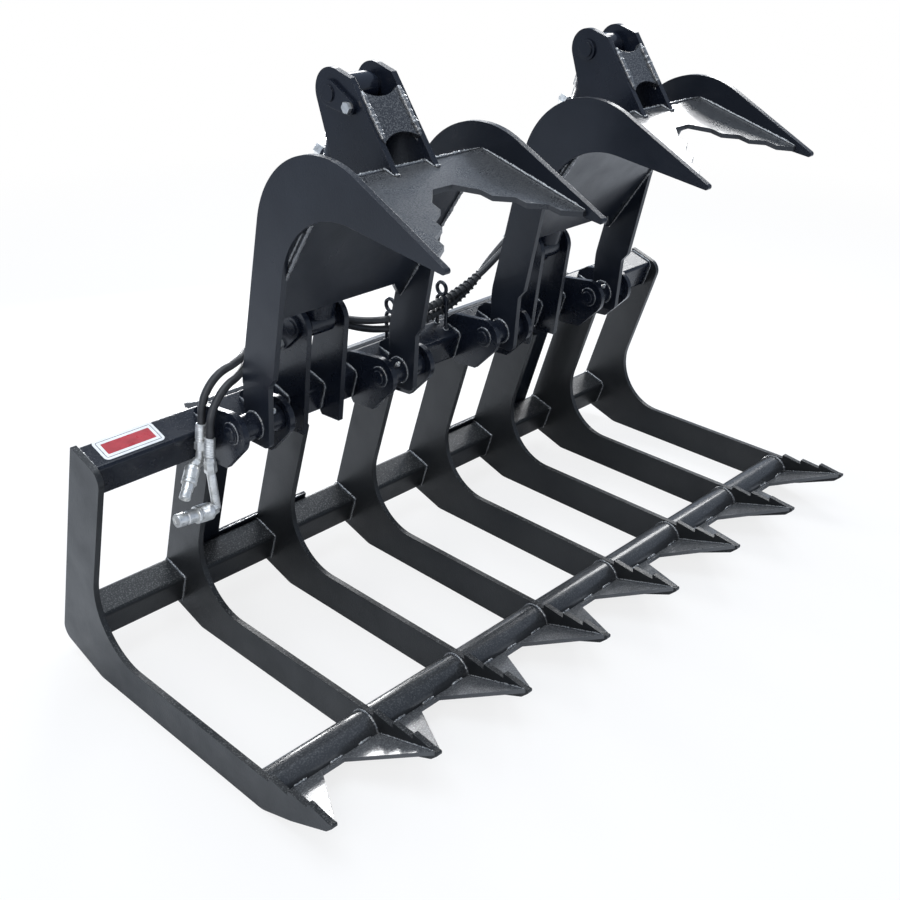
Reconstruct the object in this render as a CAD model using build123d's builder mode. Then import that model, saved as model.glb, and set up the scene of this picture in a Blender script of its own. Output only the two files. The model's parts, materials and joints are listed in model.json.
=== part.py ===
from build123d import *
import math
import os

# Root grapple, 72 inch class: eight open tines, two lids, two hydraulic cylinders.
# X runs along the tubes, -Y is the open front, +Z is up, and the tines rest on Z = 0.
# Every size is in millimetres. Side-view points are (y, z), measured from where the
# line of the tines' back edges meets the floor.

# Driving sizes of the frame
overall_width = 1828.8
tine_count = 8
tine_plate = 12.7
back_leg_width = 104.0
floor_leg_width = 88.0
back_height = 600.0
lean_angle = 17.8
heel_cut = 50.0
inner_bend_radius = 130.0
heel_radius = 28.0
crown_corner_radius = 32.0
tine_reach = 937.0
bevel_length = 209.0
tip_height = 104.0
tooth_pitch = 56.0
tooth_rise = 12.0
tube_size = 76.2
tube_wall = 6.35
tube_corner_radius = 9.0
upper_tube_height = 518.0
lower_tube_height = 68.0
pipe_diameter = 73.0
pipe_wall = 5.2
pipe_setback = 204.0
pipe_height = 47.0

# Driving sizes of the spear panels between the tine tips
point_plate = 9.5
point_overhang = 3.0
point_root_setback = 157.4
point_half_width = 102.2
point_slope = 18.3
point_root_height = 54.5

# Driving sizes of the loader side
side_plate_outer = 612.0
side_plate_width = 102.0
side_plate_thickness = 9.5
lip_thickness = 9.5
lip_length = 56.0
lip_angle = 40.0
top_lip_leg = 44.0
bottom_lip_length = 372.0
bottom_lip_leg = 78.0
bottom_lip_top = 152.0
gusset_plate = 9.5
gusset_spread = 42.0
lock_slot_inset = 142.0
lock_slot_length = 60.0
lock_slot_width = 24.0

# Driving sizes of the lids, in the open position
lid_center = 373.4
arm_spacing = 406.4
arm_plate = 12.7
hinge_y = -332.0
hinge_z = 557.0
arm_foot_back = 34.0
arm_foot_front = 44.0
arm_outer_radius = 195.0
arm_inner_radius = 176.0
arm_tip_radius = 6.0
lid_plate = 9.5
lid_closing_angle = 76.0

# Driving sizes of hinges and pins
pin_diameter = 31.75
sleeve_diameter = 57.15
sleeve_length = 101.6
lug_plate = 12.7
lug_nose_radius = 44.0
running_clearance = 0.08
seat_clearance = 0.05
side_clearance = 1.0
collar_diameter = 45.0
collar_thickness = 5.0
pin_end_length = 3.0

# Driving sizes of the cylinders
base_pin_y = -283.0
base_pin_z = 716.0
rod_pin_y = -434.0
rod_pin_z = 1216.0
clevis_gap = 88.9
clevis_plate = 12.7
clevis_nose_radius = 45.0
barrel_diameter = 76.2
bore_diameter = 63.5
base_cap = 27.0
gland_start = 424.0
gland_length = 30.0
gland_inside = 32.0
gland_diameter = 84.0
rod_diameter = 38.1
rod_stud_diameter = 25.4
piston_length = 38.0
eye_diameter = 60.0
eye_width = 63.5
boss_diameter = 46.0
boss_side_gap = 0.6
keeper_plate = 8.0
keeper_length = 58.0
keeper_pin_radius = 24.0
keeper_bolt_radius = 14.0
bolt_diameter = 12.7
bolt_head_flats = 19.0
bolt_head_height = 8.0
rod_port_along = 366.0
base_port_along = 62.0
line_diameter = 12.7

# Driving sizes of the hoses
hose_diameter = 17.0
ferrule_diameter = 24.0
guide_offset = 85.0
guide_y = -208.0
guide_rod = 9.5
guide_width = 40.0
guide_ring_rise = 97.7
guide_sink = 12.0

os.makedirs("parts", exist_ok=True)

side_plate_inner = side_plate_outer - side_plate_width
bottom_lip_inner = side_plate_outer - bottom_lip_length
gusset_inner = side_plate_outer - gusset_spread
lock_slot_offset = side_plate_outer - lock_slot_inset
lean_cos = math.cos(math.radians(lean_angle))
lean_sin = math.sin(math.radians(lean_angle))
along_x = (1, 0, 0)


def lean(across, along):
    """A (y, z) point of the leaning back frame: across from the tines' back edge, along up it."""
    return (across * lean_cos - along * lean_sin, along * lean_cos + across * lean_sin)


def lip_profile(start, leg, flange_up):
    """A bent lip plate in the leaning frame: a flat leg and a flange that slopes back and down."""
    turn = math.radians(lip_angle)
    run = lip_length * math.cos(turn)
    drop = lip_length * math.sin(turn)
    side = lip_thickness * math.sin(turn)
    depth = lip_thickness * math.cos(turn)
    if flange_up:
        return [
            (0, start - leg),
            (0, start),
            (lip_thickness, start),
            (lip_thickness + run, start - drop),
            (lip_thickness + run - side, start - drop - depth),
            (lip_thickness, start - lip_thickness / math.cos(turn)),
            (lip_thickness, start - leg),
        ]
    bend = start - leg
    return [
        (0, start),
        (0, bend),
        (run, bend - drop),
        (run + side, bend - drop + depth),
        (lip_thickness, bend + lip_thickness / math.cos(turn) - lip_thickness * math.tan(turn)),
        (lip_thickness, start),
    ]


upper_tube_top = upper_tube_height + tube_size
lower_tube_top = lower_tube_height + tube_size
top_lip_start = upper_tube_top - 4.0
top_lip_corners = [lean(a, b) for a, b in lip_profile(top_lip_start, top_lip_leg, True)]
bottom_lip_corners = [lean(a, b) for a, b in lip_profile(bottom_lip_top, bottom_lip_leg, False)]
rear_reach = max(y for y, z in bottom_lip_corners)

# The origin is midway between the lip's rear edge and the tines' noses.
y_shift = (tine_reach - rear_reach) / 2
tine_pitch = (overall_width - tine_plate) / (tine_count - 1)
tine_centers = [-overall_width / 2 + tine_plate / 2 + i * tine_pitch for i in range(tine_count)]
tube_length = overall_width - 2 * tine_plate
lid_centers = {"left": -lid_center, "right": lid_center}
hinge = (hinge_y, hinge_z)
base_pin = (base_pin_y, base_pin_z)
rod_pin = (rod_pin_y, rod_pin_z)
pin_radius = pin_diameter / 2
sleeve_bore = pin_radius + running_clearance
seat_bore = pin_radius + seat_clearance
lug_start = sleeve_length / 2 + side_clearance
lug_end = lug_start + lug_plate
cheek_start = clevis_gap / 2
cheek_end = cheek_start + clevis_plate
arm_inner_half = arm_spacing / 2 - arm_plate / 2


def place(y, z):
    """A side-view point moved so that the depth of the part is centred on the origin."""
    return (y + y_shift, z)


def side_shape(x, corners):
    """An outline in side view on the plane at x; each corner is y, z and an optional rounding."""
    points = [place(c[0], c[1]) for c in corners]
    radii = [c[2] if len(c) > 2 else 0 for c in corners]
    with BuildSketch(Plane.YZ.offset(x)) as shape:
        with BuildLine():
            if max(radii) > 0:
                FilletPolyline(*points, radius=radii, close=True)
            else:
                Polyline(*points, close=True)
        make_face()
    return shape.sketch


def side_ring(x, center, radius, inner=0):
    """A disc or ring in side view on the plane at x."""
    with BuildSketch(Plane.YZ.offset(x)) as shape:
        with Locations(place(*center)):
            Circle(radius)
            if inner > 0:
                Circle(inner, mode=Mode.SUBTRACT)
    return shape.sketch


def ring(plane, radius, inner=0):
    """A disc or ring centred on a plane."""
    with BuildSketch(plane) as shape:
        Circle(radius)
        if inner > 0:
            Circle(inner, mode=Mode.SUBTRACT)
    return shape.sketch


def hexagon(plane, flats):
    """A hexagon on a plane, given the distance across its flats."""
    with BuildSketch(plane) as shape:
        RegularPolygon(flats / 2, 6, major_radius=False)
    return shape.sketch


def hull(x, center, radius, corners):
    """A plate outline made of a round nose and the polygon behind it."""
    with BuildSketch(Plane.YZ.offset(x)) as shape:
        with BuildLine():
            Polyline(*[place(*c) for c in corners], close=True)
        make_face()
        with Locations(place(*center)):
            Circle(radius)
    return shape.sketch


def tangent(center, radius, point, side):
    """Where the line from a point touches a circle, on the side given by 1 or -1."""
    dy = point[0] - center[0]
    dz = point[1] - center[1]
    angle = math.atan2(dz, dy) + side * math.acos(radius / math.hypot(dy, dz))
    return (center[0] + radius * math.cos(angle), center[1] + radius * math.sin(angle))


def shifted(point, direction, length):
    """A side-view point moved along a unit direction."""
    return (point[0] + direction[0] * length, point[1] + direction[1] * length)


def unit(start, end):
    """The unit direction from one side-view point to another."""
    length = math.hypot(end[0] - start[0], end[1] - start[1])
    return ((end[0] - start[0]) / length, (end[1] - start[1]) / length)


def finish(builder, name):
    """Names the solid and writes it out."""
    builder.part.label = name
    export_step(builder.part, f"parts/{name}.step")


# Tines

bevel_start = tine_reach - bevel_length
heel_floor_across = -heel_cut * lean_cos / lean_sin
bend_along = (floor_leg_width - (-back_leg_width) * lean_sin) / lean_cos
first_step = tine_reach - 12 - tooth_pitch


def tine_corners(top, crown):
    """The outline of one tine: back edge, heel, floor, bevel, nose, teeth, inner bend, top."""
    return [
        (*lean(0, top), 3),
        (*lean(0, heel_cut), heel_radius),
        (*lean(heel_floor_across, heel_cut), 40),
        (-bevel_start, 0, 60),
        (-bevel_start - 88, 31.5, 120),
        (-tine_reach + 17, 79, 12),
        (-tine_reach, tip_height - 8, 5),
        (-tine_reach, tip_height, 2.5),
        (-tine_reach + 12, tip_height - 1, 8),
        (-first_step, tip_height + 7, 1.5),
        (-first_step, tip_height + 7 - tooth_rise, 1),
        (-first_step + tooth_pitch, tip_height - 0.5, 1.5),
        (-first_step + tooth_pitch, tip_height - 0.5 - tooth_rise, 1),
        (-first_step + 2 * tooth_pitch, tip_height - 5.5, 1.5),
        (-first_step + 2 * tooth_pitch, floor_leg_width, 1),
        (*lean(-back_leg_width, bend_along), inner_bend_radius),
        (*lean(-back_leg_width, top), crown),
    ]


def tube_corners(bottom, inset=0.0):
    """The square tube's outline in the leaning frame, or its hollow when inset by the wall."""
    round_off = max(tube_corner_radius - inset, 1.0)
    low = bottom + inset
    high = bottom + tube_size - inset
    return [
        (*lean(-inset, low), round_off),
        (*lean(-inset, high), round_off),
        (*lean(inset - tube_size, high), round_off),
        (*lean(inset - tube_size, low), round_off),
    ]


for number, center in enumerate(tine_centers, start=1):
    start = center - tine_plate / 2
    at_end = number in (1, tine_count)
    with BuildPart() as tine:
        if at_end:
            extrude(
                to_extrude=side_shape(start, tine_corners(back_height, crown_corner_radius)),
                amount=tine_plate,
                dir=along_x,
            )
        else:
            extrude(
                to_extrude=side_shape(start, tine_corners(upper_tube_height, 3)),
                amount=tine_plate,
                dir=along_x,
            )
            notch = [
                lean(2, lower_tube_height),
                lean(2, lower_tube_top),
                lean(-tube_size, lower_tube_top),
                lean(-tube_size, lower_tube_height),
            ]
            extrude(to_extrude=side_shape(start, notch), amount=tine_plate, dir=along_x, mode=Mode.SUBTRACT)
    finish(tine, f"tine_{number}")

# Cross tubes between the end tines

with BuildPart() as upper_tube:
    extrude(
        to_extrude=side_shape(-tube_length / 2, tube_corners(upper_tube_height)),
        amount=tube_length,
        dir=along_x,
    )
    extrude(
        to_extrude=side_shape(-tube_length / 2, tube_corners(upper_tube_height, tube_wall)),
        amount=tube_length,
        dir=along_x,
        mode=Mode.SUBTRACT,
    )
finish(upper_tube, "upper_tube")

with BuildPart() as lower_tube:
    extrude(
        to_extrude=side_shape(-tube_length / 2, tube_corners(lower_tube_height)),
        amount=tube_length,
        dir=along_x,
    )
    extrude(
        to_extrude=side_shape(-tube_length / 2, tube_corners(lower_tube_height, tube_wall)),
        amount=tube_length,
        dir=along_x,
        mode=Mode.SUBTRACT,
    )
finish(lower_tube, "lower_tube")

# Front pipe, one length between each pair of tines

pipe_reach = tine_reach - pipe_setback
pipe_center = (-pipe_reach, pipe_height)
pipe_radius = pipe_diameter / 2
gap_length = tine_pitch - tine_plate
gap_starts = [center + tine_plate / 2 for center in tine_centers[:-1]]

with BuildPart() as front_pipe:
    for start in gap_starts:
        extrude(
            to_extrude=side_ring(start, pipe_center, pipe_radius, pipe_radius - pipe_wall),
            amount=gap_length,
            dir=along_x,
        )
finish(front_pipe, "front_pipe")

# Spear panels, one between each pair of tines

rise = math.tan(math.radians(point_slope))
drop = point_plate / math.cos(math.radians(point_slope))
flat_half = tine_pitch / 2 - point_half_width
point_reach = tine_reach + point_overhang
point_root_reach = tine_reach - point_root_setback
panel_half = gap_length / 2
tip_share = (panel_half - flat_half) / point_half_width
panel_tip = point_root_reach + tip_share * (point_reach - point_root_reach)


def panel_top(reach):
    """Height of the sloping panel's top face at a reach in front of the back edge."""
    return point_root_height + (reach - point_root_reach) * rise


panel_rear = pipe_reach + pipe_radius - 12
panel_slab = [
    (-panel_rear, panel_top(panel_rear)),
    (-point_reach - 5, panel_top(point_reach + 5)),
    (-point_reach - 5, panel_top(point_reach + 5) - drop),
    (-panel_rear, panel_top(panel_rear) - drop),
]

with BuildPart() as spear_panels:
    for start in gap_starts:
        extrude(to_extrude=side_shape(start, panel_slab), amount=gap_length, dir=along_x)
    with BuildSketch(Plane.XY.offset(-5)) as panel_plan:
        for start in gap_starts:
            middle = start + panel_half
            with BuildLine():
                Polyline(
                    (middle - panel_half, y_shift - panel_rear),
                    (middle + panel_half, y_shift - panel_rear),
                    (middle + panel_half, y_shift - panel_tip),
                    (middle + flat_half, y_shift - point_root_reach),
                    (middle - flat_half, y_shift - point_root_reach),
                    (middle - panel_half, y_shift - panel_tip),
                    close=True,
                )
            make_face()
    extrude(amount=200, mode=Mode.INTERSECT)
    extrude(
        to_extrude=side_ring(-overall_width / 2, pipe_center, pipe_radius),
        amount=overall_width,
        dir=along_x,
        mode=Mode.SUBTRACT,
    )
finish(spear_panels, "spear_panels")

# Loader side: two side plates, the top lip, two bottom lips and the lip gussets

side_plate_top = top_lip_start - top_lip_leg
side_plate_corners = [
    lean(0, bottom_lip_top),
    lean(side_plate_thickness, bottom_lip_top),
    lean(side_plate_thickness, side_plate_top),
    lean(0, side_plate_top),
]

with BuildPart() as side_plates:
    for start in (-side_plate_outer, side_plate_inner):
        extrude(
            to_extrude=side_shape(start, side_plate_corners),
            amount=side_plate_outer - side_plate_inner,
            dir=along_x,
        )
finish(side_plates, "side_plates")

with BuildPart() as top_lip:
    extrude(
        to_extrude=side_shape(-side_plate_outer, top_lip_corners),
        amount=2 * side_plate_outer,
        dir=along_x,
    )
finish(top_lip, "top_lip")

flange_mid = lip_length / 2 + 3
flange_turn = math.radians(lip_angle)
slot_point = lean(
    flange_mid * math.cos(flange_turn),
    bottom_lip_top - bottom_lip_leg - flange_mid * math.sin(flange_turn),
)
slot_normal = (
    math.sin(flange_turn) * lean_cos - math.cos(flange_turn) * lean_sin,
    math.sin(flange_turn) * lean_sin + math.cos(flange_turn) * lean_cos,
)

with BuildPart() as bottom_lips:
    for start in (-side_plate_outer, bottom_lip_inner):
        extrude(
            to_extrude=side_shape(start, bottom_lip_corners),
            amount=side_plate_outer - bottom_lip_inner,
            dir=along_x,
        )
    for x in (-lock_slot_offset, lock_slot_offset):
        slot_plane = Plane(
            origin=(x, *place(*slot_point)), x_dir=along_x, z_dir=(0, slot_normal[0], slot_normal[1])
        )
        with BuildSketch(slot_plane):
            SlotOverall(lock_slot_length, lock_slot_width)
        extrude(amount=30, both=True, mode=Mode.SUBTRACT)
finish(bottom_lips, "bottom_lips")

lip_under = top_lip_start - lip_thickness / math.cos(flange_turn)
lip_reach_under = (lip_length * math.cos(flange_turn)) * 0.72
gusset_corners = [
    lean(lip_thickness, lip_under),
    lean(lip_thickness + lip_reach_under, lip_under - lip_reach_under * math.tan(flange_turn)),
    lean(lip_thickness, side_plate_top),
]

with BuildPart() as lip_gussets:
    for side in (-1, 1):
        for x in (gusset_inner, side_plate_outer - gusset_plate):
            start = min(side * x, side * (x + gusset_plate))
            extrude(to_extrude=side_shape(start, gusset_corners), amount=gusset_plate, dir=along_x)
finish(lip_gussets, "lip_gussets")

# Hinge lugs, pins and the sleeves of the lids

tube_front_low = lean(-tube_size, upper_tube_height)
tube_front_high = lean(-tube_size, upper_tube_top)
lug_foot = lean(-20, upper_tube_top)
nose_low = (
    hinge_y - lug_nose_radius * math.cos(math.radians(45)),
    hinge_z - lug_nose_radius * math.sin(math.radians(45)),
)
lug_corners = [
    tube_front_high,
    lug_foot,
    (lug_foot[0] - 4, lug_foot[1] + 12),
    (lug_foot[0] - 29, lug_foot[1] + 29),
    (hinge_y, hinge_z + lug_nose_radius),
    nose_low,
    (nose_low[0] + 59, nose_low[1] - 59),
    (tube_front_low[0] - 6, tube_front_low[1] - 8),
    tube_front_low,
]
lid_arm_centers = {
    side: [lid_centers[side] - arm_spacing / 2, lid_centers[side] + arm_spacing / 2] for side in lid_centers
}
arm_centers = lid_arm_centers["left"] + lid_arm_centers["right"]

for side in ("left", "right"):
    with BuildPart() as hinge_lugs:
        for center in lid_arm_centers[side]:
            for start in (center - lug_end, center + lug_start):
                extrude(
                    to_extrude=hull(start, hinge, lug_nose_radius, lug_corners),
                    amount=lug_plate,
                    dir=along_x,
                )
        extrude(
            to_extrude=side_ring(lid_centers[side] - 400, hinge, seat_bore),
            amount=800,
            dir=along_x,
            mode=Mode.SUBTRACT,
        )
    finish(hinge_lugs, f"hinge_lugs_{side}")

with BuildPart() as hinge_pins:
    for center in arm_centers:
        reach = lug_end + collar_thickness + pin_end_length
        extrude(to_extrude=side_ring(center - reach, hinge, pin_radius), amount=2 * reach, dir=along_x)
        for start in (center - lug_end - collar_thickness, center + lug_end):
            extrude(
                to_extrude=side_ring(start, hinge, collar_diameter / 2), amount=collar_thickness, dir=along_x
            )
    circles = hinge_pins.edges().filter_by(GeomType.CIRCLE)
    pin_circles = circles.filter_by(lambda e: abs(e.radius - pin_radius) < 0.01)
    pin_half = lug_end + collar_thickness + pin_end_length
    pin_rims = pin_circles.filter_by(
        lambda e: min(abs(abs(e.center().X - c) - pin_half) for c in arm_centers) < 0.01
    )
    chamfer(pin_rims, 1.5)
finish(hinge_pins, "hinge_pins")

# Cheeks that carry the cylinders' base pins

cheek_front_foot = (-294, 466)
cheek_back_foot = lean(-14, upper_tube_top)
cheek_corners = [
    tube_front_low,
    tube_front_high,
    cheek_back_foot,
    tangent(base_pin, clevis_nose_radius, cheek_back_foot, 1),
    tangent(base_pin, clevis_nose_radius, cheek_front_foot, -1),
    cheek_front_foot,
    (tube_front_low[0] - 5, tube_front_low[1] - 7),
]
axis_direction = unit(base_pin, rod_pin)
keeper_aim = (35, 44)
lid_keeper_aim = (56, 18)
back_direction = (axis_direction[1], -axis_direction[0])
mirror = {"left": -1, "right": 1}
base_bolt_direction = unit(base_pin, (base_pin_y + keeper_aim[0], base_pin_z - keeper_aim[1]))
base_bolt = shifted(base_pin, base_bolt_direction, keeper_length)
lid_bolt_direction = unit(rod_pin, (rod_pin_y - lid_keeper_aim[0], rod_pin_z - lid_keeper_aim[1]))
lid_bolt = shifted(rod_pin, lid_bolt_direction, keeper_length)

for side in ("left", "right"):
    with BuildPart() as base_cheeks:
        for start in (lid_centers[side] - cheek_end, lid_centers[side] + cheek_start):
            extrude(
                to_extrude=hull(start, base_pin, clevis_nose_radius, cheek_corners),
                amount=clevis_plate,
                dir=along_x,
            )
            extrude(
                to_extrude=side_ring(start, base_pin, seat_bore),
                amount=clevis_plate,
                dir=along_x,
                mode=Mode.SUBTRACT,
            )
        bolt_side = lid_centers[side] + mirror[side] * (cheek_start + cheek_end) / 2
        extrude(
            to_extrude=side_ring(bolt_side - clevis_plate, base_bolt, bolt_diameter / 2 + seat_clearance),
            amount=2 * clevis_plate,
            dir=along_x,
            mode=Mode.SUBTRACT,
        )
    finish(base_cheeks, f"base_cheeks_{side}")


def keeper_flag(x, pin, bolt):
    """The teardrop plate that a pin is welded to, held by one bolt."""
    direction = unit(pin, bolt)
    across = (-direction[1], direction[0])
    lean_in = (keeper_pin_radius - keeper_bolt_radius) / keeper_length
    level = math.sqrt(1 - lean_in ** 2)
    corners = []
    for center, radius, sign in (
        (pin, keeper_pin_radius, 1),
        (bolt, keeper_bolt_radius, 1),
        (bolt, keeper_bolt_radius, -1),
        (pin, keeper_pin_radius, -1),
    ):
        touch = shifted(center, direction, radius * lean_in)
        corners.append(shifted(touch, across, sign * radius * level))
    with BuildSketch(Plane.YZ.offset(x)) as shape:
        with BuildLine():
            Polyline(*[place(*c) for c in corners], close=True)
        make_face()
        with Locations(place(*pin)):
            Circle(keeper_pin_radius)
        with Locations(place(*bolt)):
            Circle(keeper_bolt_radius)
            Circle(bolt_diameter / 2 + seat_clearance, mode=Mode.SUBTRACT)
    return shape.sketch


with BuildPart() as base_pins:
    for side in ("left", "right"):
        middle = lid_centers[side]
        flag_face = middle + mirror[side] * cheek_end
        far_face = middle - mirror[side] * cheek_end
        flag_start = min(flag_face, flag_face + mirror[side] * keeper_plate)
        collar_start = min(far_face, far_face - mirror[side] * collar_thickness)
        pin_ends = sorted(
            (
                flag_face + mirror[side] * (keeper_plate + pin_end_length),
                far_face - mirror[side] * (collar_thickness + pin_end_length),
            )
        )
        extrude(to_extrude=keeper_flag(flag_start, base_pin, base_bolt), amount=keeper_plate, dir=along_x)
        extrude(
            to_extrude=side_ring(pin_ends[0], base_pin, pin_radius),
            amount=pin_ends[1] - pin_ends[0],
            dir=along_x,
        )
        extrude(
            to_extrude=side_ring(collar_start, base_pin, collar_diameter / 2),
            amount=collar_thickness,
            dir=along_x,
        )
finish(base_pins, "base_pins")


def bolt_plane(x, point, outward):
    """The plane of a bolt head's seat, facing outward along X."""
    return Plane(origin=(x, *place(*point)), x_dir=(0, 1, 0), z_dir=(outward, 0, 0))


with BuildPart() as keeper_bolts:
    for side in ("left", "right"):
        outward = mirror[side]
        seat = bolt_plane(lid_centers[side] + outward * (cheek_end + keeper_plate), base_bolt, outward)
        nut = bolt_plane(lid_centers[side] + outward * cheek_start, base_bolt, -outward)
        extrude(to_extrude=hexagon(seat, bolt_head_flats), amount=bolt_head_height, dir=seat.z_dir)
        extrude(
            to_extrude=ring(seat, bolt_diameter / 2), amount=clevis_plate + keeper_plate + 14, dir=nut.z_dir
        )
        extrude(to_extrude=hexagon(nut, bolt_head_flats), amount=10, dir=nut.z_dir)
finish(keeper_bolts, "keeper_bolts")

# Hose guides on the upper tube

guide_half = (guide_width - guide_rod) / 2
guide_across = (guide_y + upper_tube_top * lean_sin) / lean_cos
guide_foot = lean(guide_across, upper_tube_top)[1]
guide_root = guide_foot - guide_sink
guide_ring_height = guide_foot + guide_ring_rise
guide_top = guide_ring_height - 2 * guide_half - 1
tube_cut = [
    lean(2, upper_tube_height),
    lean(2, upper_tube_top),
    lean(-tube_size - 2, upper_tube_top),
    lean(-tube_size - 2, upper_tube_height),
]
with BuildPart() as hose_guides:
    for x in (-guide_offset, guide_offset):
        with BuildLine(Plane.YZ.offset(x)) as bow:
            Line(place(guide_y + guide_half, guide_root), place(guide_y + guide_half, guide_top))
            ThreePointArc(
                place(guide_y + guide_half, guide_top),
                place(guide_y, guide_top + guide_half),
                place(guide_y - guide_half, guide_top),
            )
            Line(place(guide_y - guide_half, guide_top), place(guide_y - guide_half, guide_root))
        with BuildSketch(Plane(origin=bow.line @ 0, z_dir=bow.line % 0)):
            Circle(guide_rod / 2)
        sweep(path=bow.line)
        with Locations(Plane.YZ.offset(x) * Location((*place(guide_y, guide_ring_height), 0))):
            Torus(guide_half, guide_rod / 2)
    extrude(
        to_extrude=side_shape(-tube_length / 2, tube_cut),
        amount=tube_length,
        dir=along_x,
        mode=Mode.SUBTRACT,
    )
finish(hose_guides, "hose_guides")

# Lid arms

arm_corners = [
    (hinge_y + arm_foot_back, hinge_z - 44, 14),
    (hinge_y + arm_foot_back - 3.5, 655, 150),
    (-448.1, 1237.5, arm_outer_radius),
    (-907.8, 1007.6, arm_tip_radius),
    (-488.8, 1062.1, arm_inner_radius),
    (-404, 676, 12),
    (hinge_y - arm_foot_front - 11, 657, 12),
    (hinge_y - arm_foot_front, hinge_z - 44, 18),
]

for number, center in enumerate(arm_centers, start=1):
    with BuildPart() as lid_arm:
        extrude(to_extrude=side_shape(center - arm_plate / 2, arm_corners), amount=arm_plate, dir=along_x)
        extrude(
            to_extrude=side_ring(center - arm_plate, hinge, sleeve_diameter / 2),
            amount=2 * arm_plate,
            dir=along_x,
            mode=Mode.SUBTRACT,
        )
    finish(lid_arm, f"lid_arm_{number}")

for side in ("left", "right"):
    with BuildPart() as sleeves:
        for center in lid_arm_centers[side]:
            extrude(
                to_extrude=side_ring(center - sleeve_length / 2, hinge, sleeve_diameter / 2, sleeve_bore),
                amount=sleeve_length,
                dir=along_x,
            )
    finish(sleeves, f"sleeves_{side}")

# Back plate and toothed top plate of each lid, mitred where they meet

plate_low = (-325, 735)
plate_bend = (-575, 1100)
plate_front = (-840, 1030)
back_run = unit(plate_low, plate_bend)
top_run = unit(plate_bend, plate_front)
back_under = (-back_run[1], back_run[0])
top_under = (-top_run[1], top_run[0])
miter = unit((0, 0), (back_under[0] + top_under[0], back_under[1] + top_under[1]))
miter_length = lid_plate / (miter[0] * back_under[0] + miter[1] * back_under[1])
bend_under = shifted(plate_bend, miter, miter_length)
back_slab = [plate_low, plate_bend, bend_under, shifted(plate_low, back_under, lid_plate)]
top_slab = [
    plate_bend,
    shifted(plate_front, top_run, 8),
    shifted(shifted(plate_front, top_run, 8), top_under, lid_plate),
    bend_under,
]
arch_height = 781
arch_chamfer = 43
tooth_half_outline = [
    (25, -665),
    (62, -700),
    (66, -726),
    (105, -748),
    (108, -772),
    (146, -793),
    (150, -818),
    (188, -840),
]

for side in ("left", "right"):
    middle = lid_centers[side]
    with BuildPart() as back_plate:
        extrude(
            to_extrude=side_shape(middle - arm_inner_half, back_slab),
            amount=2 * arm_inner_half,
            dir=along_x,
        )
        with BuildSketch(Plane.XZ):
            with BuildLine():
                Polyline(
                    (middle - arm_inner_half - 1, 700),
                    (middle - arm_inner_half - 1, arch_height - arch_chamfer),
                    (middle - arm_inner_half, arch_height - arch_chamfer),
                    (middle - arm_inner_half + arch_chamfer, arch_height),
                    (middle + arm_inner_half - arch_chamfer, arch_height),
                    (middle + arm_inner_half, arch_height - arch_chamfer),
                    (middle + arm_inner_half + 1, arch_height - arch_chamfer),
                    (middle + arm_inner_half + 1, 700),
                    close=True,
                )
            make_face()
        extrude(amount=700, both=True, mode=Mode.SUBTRACT)
    finish(back_plate, f"back_plate_{side}")

    plan = [(middle - arm_inner_half, -500), (middle + arm_inner_half, -500)]
    plan.append((middle + arm_inner_half, tooth_half_outline[-1][1]))
    plan.extend((middle + x, y) for x, y in reversed(tooth_half_outline))
    plan.extend((middle - x, y) for x, y in tooth_half_outline)
    plan.append((middle - arm_inner_half, tooth_half_outline[-1][1]))
    with BuildPart() as top_plate:
        extrude(
            to_extrude=side_shape(middle - arm_inner_half, top_slab),
            amount=2 * arm_inner_half,
            dir=along_x,
        )
        with BuildSketch(Plane.XY):
            with BuildLine():
                Polyline(*[(x, y + y_shift) for x, y in plan], close=True)
            make_face()
        extrude(amount=2 * plate_bend[1], mode=Mode.INTERSECT)
    finish(top_plate, f"top_plate_{side}")

# Bracket plates on each lid that carry the rod pin, with the filler plate between them

bracket_front_top = (-487, 1248)
bracket_front_foot = shifted(plate_bend, top_run, 26)
bracket_back_share = 0.58
bracket_back_foot = (
    plate_low[0] + (plate_bend[0] - plate_low[0]) * bracket_back_share,
    plate_low[1] + (plate_bend[1] - plate_low[1]) * bracket_back_share,
)
bracket_waist = (-426, 1099)
bracket_corners = [
    bracket_front_foot,
    plate_bend,
    bracket_back_foot,
    bracket_waist,
    tangent(rod_pin, clevis_nose_radius, bracket_waist, 1),
    tangent(rod_pin, clevis_nose_radius, bracket_front_top, -1),
    bracket_front_top,
]
front_run = unit(bracket_front_foot, bracket_front_top)
front_normal = (-front_run[1], front_run[0])
filler_thickness = 12.0
filler_height = 104.0
filler_middle = shifted(bracket_front_top, front_run, -26 - filler_height / 2)
filler_arc = 70.0

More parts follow.
